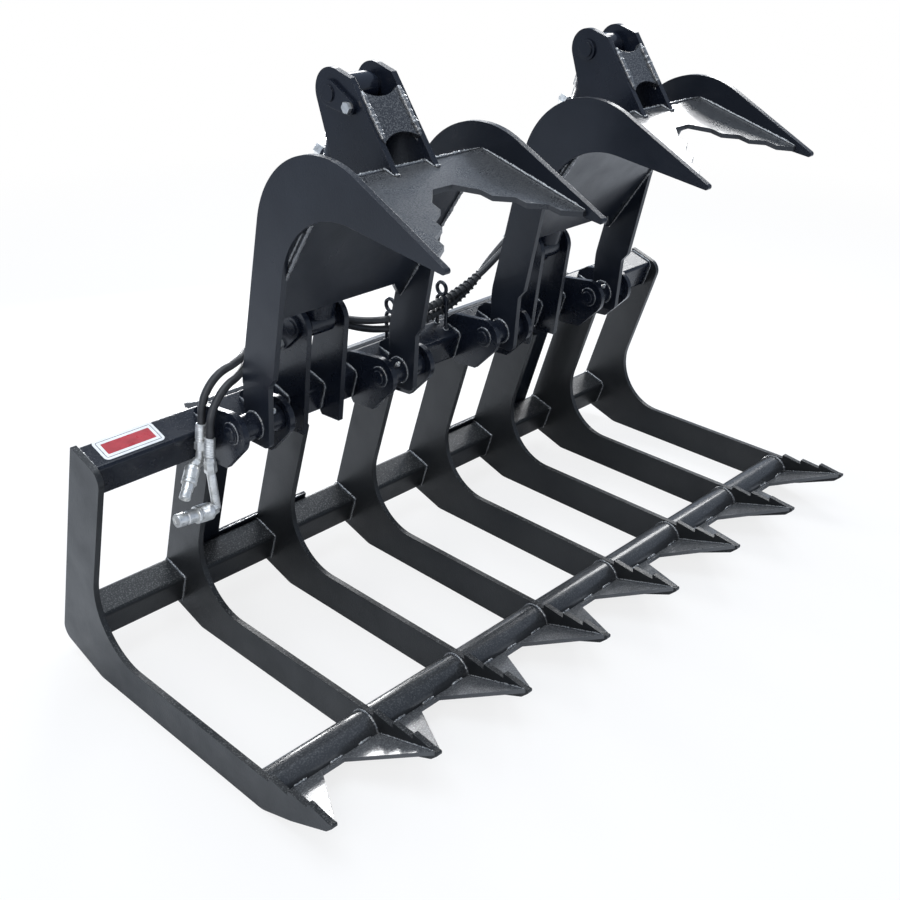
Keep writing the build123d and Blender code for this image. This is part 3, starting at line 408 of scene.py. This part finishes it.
def rubberMaterial():
    mat, tree, shader, coords = startMaterial("hoseRubber")
    cloud = noiseNode(tree, coords, 35, 4, 0.6)
    dark, light = (0.012, 0.012, 0.013), (0.035, 0.035, 0.036)
    colour = rampNode(tree, cloud.outputs["Fac"], [(0.3, dark), (0.75, light)])
    tree.links.new(colour.outputs["Color"], shader.inputs["Base Color"])
    wear = noiseNode(tree, coords, 120, 4, 0.6)
    rough = rampNode(tree, wear.outputs["Fac"], [(0.3, grey(0.34)), (0.75, grey(0.56))])
    tree.links.new(rough.outputs["Color"], shader.inputs["Roughness"])
    uv = tree.nodes.new("ShaderNodeMapping")
    uv.inputs["Scale"].default_value = (1.0, 70.0, 1.0)
    tree.links.new(coords.outputs["UV"], uv.inputs["Vector"])
    wrap = tree.nodes.new("ShaderNodeTexWave")
    wrap.wave_type = "BANDS"
    wrap.bands_direction = "DIAGONAL"
    wrap.inputs["Scale"].default_value = 6.0
    wrap.inputs["Distortion"].default_value = 0.4
    tree.links.new(uv.outputs["Vector"], wrap.inputs["Vector"])
    grain = noiseNode(tree, coords, 700, 2, 0.6)
    first = bumpNode(tree, wrap.outputs["Fac"], 0.35, 0.0003)
    second = bumpNode(tree, grain.outputs["Fac"], 0.3, 0.0003, first.outputs["Normal"])
    tree.links.new(second.outputs["Normal"], shader.inputs["Normal"])
    return mat


hoseRubber = rubberMaterial()
print("materials made")

# Hoses
hoseSet = {"diameter": 0.017, "sides": 24, "step": 0.004, "crossReach": 0.72, "supplyReach": 0.55}
guardSet = {"pitch": 0.017, "rod": 0.0026, "step": 0.0012, "skip": 6, "reach": 0.62}
leftX = lidX["left"]
hoseRoutes = {
    "hose_a": [legEnd(leftX, -1, layout["teeA"]), legEnd(leftX, -1, layout["teeA"], 65), (-508, -228, 676),
               (-565, -266, 672), (-622.4, -270, 664), (-663.4, -272, 623), (-671.5, -272, 565.6)],
    "hose_b": [legEnd(leftX, -1, layout["teeB"]), legEnd(leftX, -1, layout["teeB"], 65), (-510, -226, 655),
               (-568, -276, 648), (-621, -291, 641), (-664, -299, 601), (-672, -299, 543)],
}
# each hose runs on inside its coupler's shell
insideCoupler = {"hose_a": (-675.55, -272, 536.9), "hose_b": (-677.2, -299, 484)}
crossHalf = {
    "hose_a_cross": [legEnd(leftX, 1, layout["teeA"]), legEnd(leftX, 1, layout["teeA"], 69),
                     (-215, -205, 652), (-120, -207, 624), (0, -208, 611)],
    "hose_b_cross": [legEnd(leftX, 1, layout["teeB"]), legEnd(leftX, 1, layout["teeB"], 69),
                     (-215, -194, 636), (-120, -206, 600), (0, -208, 586)],
}


def hoseObject(name, path):
    store = ([], [], [])
    points, total = resample(path, hoseSet["step"])
    tubeMesh(store, points, hoseSet["diameter"] / 2, hoseSet["sides"])
    obj = meshObject(name, store[0], store[1], True, store[2])
    obj.data.materials.append(hoseRubber)
    return obj, points, total


freeHoses = {}
for name, route in hoseRoutes.items():
    path = splinePoints([spot(*p) for p in route + [insideCoupler[name]]])
    obj, points, total = hoseObject("supplyHose" + name[-1].upper(), path)
    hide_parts(name)
    freeHoses[name] = (obj, points, total)

for name, half in crossHalf.items():
    whole = half + [(-x, y, z) for x, y, z in reversed(half[:-1])]
    path = splinePoints([spot(*p) for p in whole])
    points = resample(path, hoseSet["step"])[0]
    middle = len(points) // 2
    letter = name[5].upper()
    for side, part in (("left", points[: middle + 1]), ("right", points[middle:])):
        store = ([], [], [])
        tubeMesh(store, part, hoseSet["diameter"] / 2, hoseSet["sides"])
        obj = meshObject(f"crossHose{letter}{side.capitalize()}", store[0], store[1], True, store[2])
        obj.data.materials.append(hoseRubber)
        if side == "left":
            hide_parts(name)
        near, far = part[0], part[int(len(part) * hoseSet["crossReach"])]
        if side == "right":
            near, far = part[-1], part[int(len(part) * (1 - hoseSet["crossReach"]))]
        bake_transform(obj)
        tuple(near)
        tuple(far)
        if side == "right":  # the spiral guard that the right half of each cross hose wears
            guard = ([], [], [])
            covered = part[guardSet["skip"]: int(len(part) * guardSet["reach"])]
            line = resample(covered, guardSet["step"])[0]
            last = len(line) - 1
            ahead = [(line[min(i + 1, last)] - line[max(i - 1, 0)]).normalized() for i in range(len(line))]
            across = ahead[0].orthogonal().normalized()
            coil, along = [], 0.0
            for i, p in enumerate(line):
                across = (across - ahead[i] * across.dot(ahead[i])).normalized()
                angle = 2 * math.pi * along / guardSet["pitch"]
                offset = across * math.cos(angle) + ahead[i].cross(across) * math.sin(angle)
                coil.append(p + offset * (hoseSet["diameter"] / 2 + guardSet["rod"] * 0.55))
                along += guardSet["step"]
            tubeMesh(guard, coil[::2], guardSet["rod"], 8)
            wrap = meshObject(f"spiralGuard{letter}", guard[0], guard[1], True, guard[2])
            wrap.data.materials.append(hoseRubber)
            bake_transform(wrap)
            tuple(near)
            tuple(far)
print("hoses laid")

# Couplers at the free ends
couplerSet = {
    "a": {"ferrule": [(-671.5, -272, 565.6), (-675.55, -272, 536.9)],
          "swivel": [(-675.55, -272, 536.9), (-678.5, -272, 512)],
          "neck": [(-678.5, -272, 512), (-684, -272, 490)], "nut": [(-684, -272, 490), (-702, -274, 482)],
          "body": [(-702, -274, 482), (-729, -294, 459)], "tip": [(-729, -294, 459), (-752, -310, 440)],
          "radii": (12, 13.5, 9.5, 12.5, 16, 12)},
    "b": {"ferrule": [(-672, -299, 543), (-677.19, -299, 505.36)],
          "swivel": [(-677.19, -299, 505.36), (-677.2, -299, 467)],
          "neck": [(-677.2, -299, 467), (-672, -299, 386)], "nut": [(-672, -299, 386), (-685, -299, 382)],
          "body": [(-685, -299, 382), (-724, -299, 386)], "tip": [(-724, -299, 386), (-770, -299, 391)],
          "radii": (12, 13.5, 9.5, 13.5, 19, 14.5)},
}


def couplerObject(name, parts):
    store = ([], [], [])
    radii = dict(zip(("ferrule", "swivel", "neck", "nut", "body", "tip"), parts["radii"]))

    def run(key):
        a, b = (spot(*p) for p in parts[key])
        return a, b - a, (b - a).length, radii[key] / 1000

    start, way, size, r = run("ferrule")  # crimped shell with rolled grooves
    shell = [(-0.004, r * 0.80), (-0.003, r * 0.95)]
    for i in range(7):
        t = i / 7
        shell += [(size * (t + 0.02), r), (size * (t + 0.09), r)]
        shell += [(size * (t + 0.115), r * 0.93), (size * (t + 0.135), r * 0.93)]
    shell += [(size * 0.99, r), (size, r * 0.9)]
    lathe(store, start, way, shell, 40)
    start, way, size, r = run("swivel")  # collar, then a chamfered hexagon
    lathe(store, start, way, [(0, r * 0.72), (size * 0.12, r * 0.86), (size * 0.3, r * 0.86)], 36)
    hexagon = [(size * 0.28, r * 0.9), (size * 0.33, r), (size * 0.9, r), (size * 0.96, r * 0.9)]
    lathe(store, start, way, hexagon, 6, 0.3)
    start, way, size, r = run("neck")  # bent neck of the elbow
    bent = [(-0.002, r * 0.85), (0.001, r * 0.98), (size * 0.5, r * 0.98), (size + 0.001, r)]
    lathe(store, start, way, bent, 32)
    corner = spot(*parts["neck"][1])
    ball = [(-r * math.cos(math.pi * i / 14), r * math.sin(math.pi * i / 14) + 1e-5) for i in range(1, 14)]
    lathe(store, corner, way, ball, 32)
    start, way, size, r = run("nut")
    nut = [(size * 0.1, r * 0.9), (size * 0.2, r), (size * 0.9, r), (size, r * 0.9)]
    lathe(store, start, way, nut, 6, 0.1)
    start, way, size, r = run("body")  # sliding sleeve with a knurled band
    sleeve = [(0, r * 0.86), (size * 0.06, r * 0.97), (size * 0.1, r), (size * 0.3, r)]
    for i in range(9):
        t = 0.33 + i * 0.045
        sleeve += [(size * t, r * 0.965), (size * (t + 0.02), r)]
    sleeve += [(size * 0.78, r), (size * 0.8, r * 0.9), (size * 0.86, r * 0.9)]
    sleeve += [(size * 0.88, r), (size * 0.97, r), (size, r * 0.94)]
    lathe(store, start, way, sleeve, 44)
    start, way, size, r = run("tip")  # flat-face nose with its seal groove
    nose = [(-0.001, r), (size * 0.45, r), (size * 0.48, r * 0.88), (size * 0.58, r * 0.88)]
    nose += [(size * 0.61, r), (size * 0.94, r), (size, r * 0.93), (size, r * 0.62)]
    nose += [(size * 0.95, r * 0.6), (size * 0.95, 0.0008)]
    lathe(store, start, way, nose, 44)
    obj = meshObject(name, store[0], store[1])
    obj.data.materials.append(zincPlate)
    return obj


for letter in ("a", "b"):
    piece = couplerObject("quickCoupler" + letter.upper(), couplerSet[letter])
    edge = piece.modifiers.new("crisp", "EDGE_SPLIT")
    edge.split_angle = math.radians(32)
    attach(piece, "frame")
    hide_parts("coupler_" + letter)
    hose, points, total = freeHoses["hose_" + letter]
    tuple(points[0])
    [tuple(p) for p in points]
    far = points[int(len(points) * hoseSet["supplyReach"])]
    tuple(points[0])
    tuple(far)
    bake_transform(hose)
print("couplers made")

# Materials on the carried-over nodes
nodeFinish = {
    "plate": ["side_plates", "lid_arm_", "back_plate_", "bottom_lips", "lip_gussets", "top_lip"],
    "tine": ["tine_", "lower_tube"],
    "pipe": ["front_pipe"],
    "lidTopSheen": ["top_plate_"],
    "speckledGlint": ["bracket_filler_"],
    "panel": ["spear_panels"],
}
slotFinish = {"black_paint": paint["gloss"], "zinc_steel": zincPlate, "chrome_rod": chromePlate,
              "machined_steel": machinedSteel, "hose_rubber": hoseRubber}
rodSet = {"axis": (-0.2891, 0.9573), "eyeWeld": 0.478}  # its direction in y and z, metres to the eye's weld
slotOf = {entry["node"]: entry["material_slot"] for entry in frame["record"]["subparts"]}


def rodMaterial(obj):
    # hard chrome on the rod, black paint from its eye's weld outwards
    mat = chromePlate.copy()
    mat.name = "rodFinish" + obj.name
    tree = mat.node_tree
    axis = Vector((0, *rodSet["axis"]))
    base = spot(0, *layout["basePin"])
    place = obj.matrix_world.translation
    coords = tree.nodes.new("ShaderNodeTexCoord")
    dot = tree.nodes.new("ShaderNodeVectorMath")
    dot.operation = "DOT_PRODUCT"
    dot.inputs[1].default_value = obj.matrix_world.to_3x3().inverted() @ axis
    tree.links.new(coords.outputs["Object"], dot.inputs[0])
    weldAt = axis.dot(base) - axis.dot(place) + rodSet["eyeWeld"]
    far = mathNode(tree, "GREATER_THAN", dot.outputs["Value"], weldAt)
    shader = tree.nodes["Principled BSDF"]
    ramp = shader.inputs["Base Color"].links[0].from_node
    painted = mixNode(tree, far, ramp.outputs["Color"], paintLooks["gloss"]["light"])
    tree.links.new(painted, shader.inputs["Base Color"])
    tree.links.new(mathNode(tree, "SUBTRACT", 1.0, far), shader.inputs["Metallic"])
    return mat


for name, obj in nodes.items():
    finish = slotFinish[slotOf[name]]
    if name in ("rod_left", "rod_right"):
        finish = rodMaterial(obj)
    if name.startswith("rod_pin_") or name.startswith("pin_keepers_"):
        finish = paint["gloss"]
    for key, starts in nodeFinish.items():
        if any(name.startswith(s) for s in starts):
            finish = paint[key]
    if not obj.material_slots:
        obj.data.materials.append(finish)
    for holder in obj.material_slots:
        holder.material = finish
print("nodes painted")

# Weld beads
weldSet = {"radius": 4.2, "heavy": 6.2, "medium": 3.8, "sleeve": 3.4, "light": 3.0, "edge": 2.6,
           "pin": 2.4, "guide": 2.2, "pitch": 0.0072, "step": 0.0024, "sides": 9, "jitters": 400}
ringSet = {"pipe": 36.6, "pin": 22.8, "sleeve": 28.8, "lugFace": 65.0}
panelSet = {"top": 54.5, "edge": 779.6, "slope": math.radians(18.3), "bead": (768, 926)}


def beadRipple(phase, closed):
    jitter = [random.uniform(0.78, 1.18) for _ in range(weldSet["jitters"])]

    def shape(run, angle, share):
        t = run / weldSet["pitch"] + phase
        scallop = 0.80 + 0.30 * (1 - (t % 1.0)) ** 0.7 + 0.07 * math.sin(3 * angle + 1.7 * t)
        ends = 1.0 if closed else min(1.0, 0.35 + 6 * share, 0.35 + 6 * (1 - share))
        return scallop * jitter[int(t) % weldSet["jitters"]] * ends
    return shape


def addBead(store, points, radius=None, closed=False):
    path = [Vector(p) for p in points]
    if closed:
        path.append(path[0])
    line = resample(path, weldSet["step"])[0]
    if closed:
        line = line[:-1]
    ripple = beadRipple(random.random(), closed)
    tubeMesh(store, line, (radius or weldSet["radius"]) / 1000, weldSet["sides"], ripple, closed)


def ringPoints(x, centre, radius, count=48):
    turns = [math.radians(360 * i / count) for i in range(count)]
    return [spot(x, centre[0] + radius * math.cos(a), centre[1] + radius * math.sin(a)) for a in turns]


def panelTop(reach):
    return panelSet["top"] + (reach - panelSet["edge"]) * math.tan(panelSet["slope"])


frameBeads = ([], [], [])
half = layout["tinePlate"] / 2
for i, x in enumerate(tineX):
    inner = 0 < i < layout["tineCount"] - 1
    faces = [x - half, x + half] if inner else [x + half if i == 0 else x - half]
    for face in faces:
        if inner:
            addBead(frameBeads, [leanPoint(face, tubeFront, lowerLow), leanPoint(face, tubeFront, lowerTop),
                                 leanPoint(face, 0, lowerTop)])
            addBead(frameBeads, [leanPoint(face, -4, upperLow), leanPoint(face, -76, upperLow)])
            addBead(frameBeads, [leanPoint(face, 0, 70), leanPoint(face, 0, 142)])
        else:
            for low, high in (layout["lowerTube"], layout["upperTube"]):
                corners = [(0, low + 8), (0, high - 8), (-8, high), (-68, high),
                           (tubeFront, high - 8), (tubeFront, low + 8), (-68, low), (-8, low)]
                addBead(frameBeads, [leanPoint(face, *corner) for corner in corners], None, True)
        addBead(frameBeads, ringPoints(face, layout["pipe"], ringSet["pipe"]), weldSet["medium"], True)
        near, far = panelSet["bead"]
        seam = [spot(face, -near, panelTop(near) + 1), spot(face, -far, panelTop(far))]
        addBead(frameBeads, seam, weldSet["light"])
    if inner:
        addBead(frameBeads, [leanPoint(x - half, -77, upperLow), leanPoint(x + half, -77, upperLow)])
stitchSet = {"offsets": (-88, -6, 74), "drift": 8, "length": 34, "y": -768.6, "z": 51.5}
for x in tineX[:-1]:
    for offset in stitchSet["offsets"]:  # stitch welds between the pipe and each spear panel
        start = x + layout["tinePitch"] / 2 + offset + random.uniform(-stitchSet["drift"], stitchSet["drift"])
        ends = [spot(start + along, stitchSet["y"], stitchSet["z"]) for along in (0, stitchSet["length"])]
        addBead(frameBeads, ends)


def footBead(x, back):
    # a plate's foot over the upper tube's top and down its front
    addBead(frameBeads, [leanPoint(x, back, upperTop), leanPoint(x, -70, upperTop + 0.4),
                         leanPoint(x, tubeFront - 0.2, 588), leanPoint(x, tubeFront - 0.2, 520)])


for side in ("left", "right"):
    for centre in armX[side]:
        for offset in lugFaces:
            footBead(centre + offset, -21)
        for face in (-ringSet["lugFace"], ringSet["lugFace"]):
            ring = ringPoints(centre + face, layout["hinge"], ringSet["pin"])
            addBead(frameBeads, ring, weldSet["pin"], True)
    for offset in clevisFaces:
        footBead(lidX[side] + offset, -15)
loaderSet = {"plate": (510, 612), "lipFrom": 242, "lipTop": 152.5, "plateTop": (524, 544)}
plateIn, plateOut = loaderSet["plate"]
for sign in (-1, 1):
    for face in loaderSet["plate"]:
        plateEdge = [leanPoint(sign * face, 1, along) for along in loaderSet["plateTop"]]
        addBead(frameBeads, plateEdge, weldSet["edge"])
    lip = loaderSet["lipTop"]
    underPlate = [leanPoint(sign * x, 10, lip) for x in (plateIn + 1, plateOut - 1)]
    alongLip = [leanPoint(sign * x, 1, lip) for x in (loaderSet["lipFrom"], plateIn - 2)]
    addBead(frameBeads, underPlate, weldSet["light"])
    addBead(frameBeads, alongLip, weldSet["light"])
guideSet = {"legs": (-15.25, 15.25), "ring": 6, "steps": 16, "topY": -181.6, "topZ": 565.7, "slope": 0.3195}
for x in (-layout["guideX"], layout["guideX"]):
    for leg in guideSet["legs"]:
        y = layout["guideY"] + leg
        z = guideSet["topZ"] + (y - guideSet["topY"]) * guideSet["slope"]
        ring, slope = guideSet["ring"], guideSet["slope"]
        turns = [math.radians(360 * k / guideSet["steps"]) for k in range(guideSet["steps"])]
        around = [spot(x + ring * math.cos(a), y + ring * math.sin(a), z + ring * math.sin(a) * slope)
                  for a in turns]
        addBead(frameBeads, around, weldSet["guide"], True)
frameWelds = meshObject("frameWeldBeads", frameBeads[0], frameBeads[1])
frameWelds.data.materials.append(paint["weld"])
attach(frameWelds, "frame")

# weld seams on a lid, as y and z
seamSet = {
    "backOuter": ((-329, 741), (-574, 1098)), "backInner": ((-340, 736), (-577, 1084)),
    "topOuter": ((-577, 1100), (-838, 1031)), "topInner": ((-580, 1089), (-836, 1021)),
    "bend": (-575, 1100.5),
    "bracketFoot": ((-600, 1094), (-577, 1100.5), (-471, 947.5)), "bracketToe": (-602, 1094),
    "toeEnds": ((-57, -44), (44, 57)), "filler": 44.6,
    "fillerFront": ((-503, 1226), (-564, 1143)), "fillerBack": ((-493, 1217), (-556, 1133)),
}


def acrossPoints(x, seam):
    return [spot(x, y, z) for y, z in seamSet[seam]]


for side in ("left", "right"):
    beads = ([], [], [])
    centre = lidX[side]
    inner = layout["armSpacing"] / 2 - half
    for sign in (-1, 1):
        for seam in ("backOuter", "backInner", "topOuter", "topInner"):
            addBead(beads, acrossPoints(centre + sign * inner, seam))
    bend = seamSet["bend"]
    addBead(beads, [spot(centre - inner + 4, *bend), spot(centre + inner - 4, *bend)], weldSet["medium"])
    for offset in clevisFaces:
        addBead(beads, acrossPoints(centre + offset, "bracketFoot"), weldSet["medium"])
    for ends in seamSet["toeEnds"]:
        addBead(beads, [spot(centre + x, *seamSet["bracketToe"]) for x in ends], weldSet["medium"])
    for sign in (-1, 1):
        x = centre + sign * seamSet["filler"]
        addBead(beads, acrossPoints(x, "fillerFront"), weldSet["heavy"])
        addBead(beads, acrossPoints(x, "fillerBack"), weldSet["radius"])
    for arm in armX[side]:
        for sign in (-1, 1):
            ring = ringPoints(arm + sign * half, layout["hinge"], ringSet["sleeve"])
            addBead(beads, ring, weldSet["sleeve"], True)
    lidWelds = meshObject(f"lidWeldBeads{side.capitalize()}", beads[0], beads[1])
    lidWelds.data.materials.append(paint["weld"])
    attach(lidWelds, f"lid_{side}")
print("welds run")

# Grease fittings on the lids' sleeves
greaseSet = {"base": 5.0, "hex": 5.6, "neck": 2.6, "tip": 3.3}
greasePlace = {"angle": 128, "radius": 28.2, "inward": 28}


def addGreaseFitting(store, start, direction):
    g = {key: value / 1000 for key, value in greaseSet.items()}
    lathe(store, start - direction * 0.001, direction, [(0, g["base"]), (0.002, g["base"])], 24)
    lathe(store, start, direction, [(0.001, g["hex"]), (0.0055, g["hex"]), (0.0062, g["base"] * 0.8)], 6)
    nipple = [(0.006, g["neck"]), (0.0085, g["neck"]), (0.0100, g["tip"]), (0.0118, g["tip"])]
    lathe(store, start, direction, nipple + [(0.0135, g["neck"] * 0.6)], 20)


for side in ("left", "right"):
    fittings = ([], [], [])
    for arm in armX[side]:
        turn = math.radians(greasePlace["angle"])
        y = layout["hinge"][0] + greasePlace["radius"] * math.cos(turn)
        z = layout["hinge"][1] + greasePlace["radius"] * math.sin(turn)
        x = arm + greasePlace["inward"] * (1 if arm < lidX[side] else -1)
        addGreaseFitting(fittings, spot(x, y, z), Vector((0, math.cos(turn), math.sin(turn))))
    piece = meshObject(f"greaseFittings{side.capitalize()}", fittings[0], fittings[1])
    piece.data.materials.append(zincPlate)
    edge = piece.modifiers.new("crisp", "EDGE_SPLIT")
    edge.split_angle = math.radians(32)
    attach(piece, f"lid_{side}")
print("grease fittings set")

# Plain sticker on the upper tube
stickerSet = {"from": -873.0, "to": -736.0, "low": -63.0, "high": -3.0, "corner": 10.0, "gap": 0.05,
              "thick": 0.5, "film": 0.08, "border": 6.0, "line": 1.3, "margin": 8.0}


def roundedPlate(name, x0, x1, a0, a1, corner, lift, thick):
    # a thin plate with rounded corners, lifted off the upper tube's top face
    outline = []
    for cx, ca, first in ((x1 - corner, a1 - corner, 0), (x0 + corner, a1 - corner, 90),
                          (x0 + corner, a0 + corner, 180), (x1 - corner, a0 + corner, 270)):
        for k in range(7):
            turn = math.radians(first + 15 * k)
            outline.append((cx + corner * math.cos(turn), ca + corner * math.sin(turn)))
    count = len(outline)
    verts = [leanPoint(x, a, upperTop + up) for up in (lift, lift + thick) for x, a in outline]
    faces = [tuple(range(count)), tuple(count + k for k in reversed(range(count)))]
    faces += [(k, (k + 1) % count, count + (k + 1) % count, count + k) for k in range(count)]
    return meshObject(name, verts, faces, False)


def vinylMaterial(name, dark, light):
    mat, tree, shader, coords = startMaterial(name)
    cloud = noiseNode(tree, coords, 40, 4, 0.6)
    colour = rampNode(tree, cloud.outputs["Fac"], [(0.3, dark), (0.7, light)])
    tree.links.new(colour.outputs["Color"], shader.inputs["Base Color"])
    wear = noiseNode(tree, coords, 90, 3)
    rough = rampNode(tree, wear.outputs["Fac"], [(0.3, grey(0.25)), (0.8, grey(0.42))])
    tree.links.new(rough.outputs["Color"], shader.inputs["Roughness"])
    fine = noiseNode(tree, coords, 300, 2)
    bump = bumpNode(tree, fine.outputs["Fac"], 0.1, 0.0002)
    tree.links.new(bump.outputs["Normal"], shader.inputs["Normal"])
    return mat


def stickerLayer(name, inset, lift, thick, vinyl):
    t = stickerSet
    layer = roundedPlate(name, t["from"] + inset, t["to"] - inset, t["low"] + inset, t["high"] - inset,
                         max(2.0, t["corner"] - inset), lift, thick)
    layer.data.materials.append(vinyl)
    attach(layer, "frame")


border = stickerSet["border"]
gap, thick, film = stickerSet["gap"], stickerSet["thick"], stickerSet["film"]
whiteVinyl = vinylMaterial("whiteVinyl", (0.66, 0.66, 0.65), (0.80, 0.80, 0.79))
blackVinyl = vinylMaterial("blackVinyl", (0.010, 0.010, 0.012), (0.020, 0.020, 0.022))
redVinyl = vinylMaterial("redVinyl", (0.30, 0.012, 0.020), (0.46, 0.030, 0.042))
stickerLayer("stickerGround", 0, gap, thick, whiteVinyl)
stickerLayer("stickerLine", border, gap + thick, film, blackVinyl)
stickerLayer("stickerField", border + stickerSet["line"], gap + thick + film, film, whiteVinyl)
stickerLayer("stickerBand", border + stickerSet["margin"], gap + thick + 2 * film, film, redVinyl)
print("sticker placed")

# Floor, world and lights: seen straight on, the floor fades to white with distance
studioSet = {"floor": 14.0, "drop": -0.0006, "paper": 0.86, "glow": 0.80, "shadeReach": (1.6, 4.5),
             "ambient": 0.62, "sky": (0.68, 0.80, 1.0)}
floorCorners = [(x * studioSet["floor"], y * studioSet["floor"], studioSet["drop"])
                for x, y in ((-1, -1), (1, -1), (1, 1), (-1, 1))]
floor = meshObject("studioFloor", floorCorners, [(0, 1, 2, 3)], False)
floorMat, tree, shader, coords = startMaterial("palePaper")
cloud = noiseNode(tree, coords, 1.5, 2)
paper = studioSet["paper"]
pale = rampNode(tree, cloud.outputs["Fac"], [(0.3, grey(paper - 0.03)), (0.7, grey(paper))])
tree.links.new(pale.outputs["Color"], shader.inputs["Base Color"])
shader.inputs["Roughness"].default_value = 0.9
shader.inputs["Specular IOR Level"].default_value = 0.1
glow = tree.nodes.new("ShaderNodeEmission")
glow.inputs["Color"].default_value = (1, 1, 1, 1)
glow.inputs["Strength"].default_value = 1.0
away = tree.nodes.new("ShaderNodeVectorMath")
away.operation = "LENGTH"
tree.links.new(coords.outputs["Object"], away.inputs[0])
reach = tree.nodes.new("ShaderNodeMapRange")
reach.inputs["From Min"].default_value = studioSet["shadeReach"][0]
reach.inputs["From Max"].default_value = studioSet["shadeReach"][1]
reach.inputs["To Min"].default_value = studioSet["glow"]
reach.inputs["To Max"].default_value = 1.0
tree.links.new(away.outputs["Value"], reach.inputs["Value"])
part = mathNode(tree, "MULTIPLY", directRays(tree), reach.outputs["Result"])
blendShader = tree.nodes.new("ShaderNodeMixShader")
tree.links.new(part, blendShader.inputs["Fac"])
tree.links.new(shader.outputs["BSDF"], blendShader.inputs[1])
tree.links.new(glow.outputs["Emission"], blendShader.inputs[2])
tree.links.new(blendShader.outputs["Shader"], tree.nodes["Material Output"].inputs["Surface"])
floor.data.materials.append(floorMat)

world = bpy.data.worlds.new("studioWorld")
bpy.context.scene.world = world
world.use_nodes = True
tree = world.node_tree
base = tree.nodes["Background"]
base.inputs["Color"].default_value = (*studioSet["sky"], 1)
base.inputs["Strength"].default_value = studioSet["ambient"]
bright = tree.nodes.new("ShaderNodeBackground")
bright.inputs["Color"].default_value = (1, 1, 1, 1)
bright.inputs["Strength"].default_value = 1.0
mixer = tree.nodes.new("ShaderNodeMixShader")
tree.links.new(directRays(tree), mixer.inputs["Fac"])
tree.links.new(base.outputs["Background"], mixer.inputs[1])
tree.links.new(bright.outputs["Background"], mixer.inputs[2])
tree.links.new(mixer.outputs["Shader"], tree.nodes["World Output"].inputs["Surface"])

lampSet = {
    "skyPanel": {"place": (-0.6, 0.3, 4.2), "aim": (0, 0, 0.5), "size": 3.2,
                "power": 105, "tint": (0.86, 0.93, 1.0)},
    "sideKey": {"place": (-3.6, -1.6, 2.6), "aim": (0, 0, 0.5), "size": 1.8,
               "power": 55, "tint": (1.0, 0.98, 0.95)},
    "rearRim": {"place": (2.4, 3.2, 2.8), "aim": (0, 0, 0.6), "size": 1.6,
               "power": 45, "tint": (1, 1, 1)},
    "lidGlare": {"place": (2.65, 0.74, 2.3), "aim": (0.37, -0.25, 1.07), "size": 0.9,
                "power": 34, "tint": (1, 1, 1)},
    "pointGlare": {"place": (0.6, 2.12, 0.72), "aim": (-0.78, -0.41, 0.07), "size": 0.55,
                  "power": 26, "tint": (1, 1, 1)},
}
for name, lamp in lampSet.items():
    data = bpy.data.lights.new(name, "AREA")
    data.size = lamp["size"]
    data.energy = lamp["power"]
    data.color = lamp["tint"]
    obj = bpy.data.objects.new(name, data)
    bpy.context.scene.collection.objects.link(obj)
    obj.location = lamp["place"]
    obj.visible_camera = False
    obj.rotation_euler = (Vector(lamp["aim"]) - Vector(lamp["place"])).to_track_quat("-Z", "Y").to_euler()
bpy.context.scene.view_settings.view_transform = "Standard"
print("studio lit")
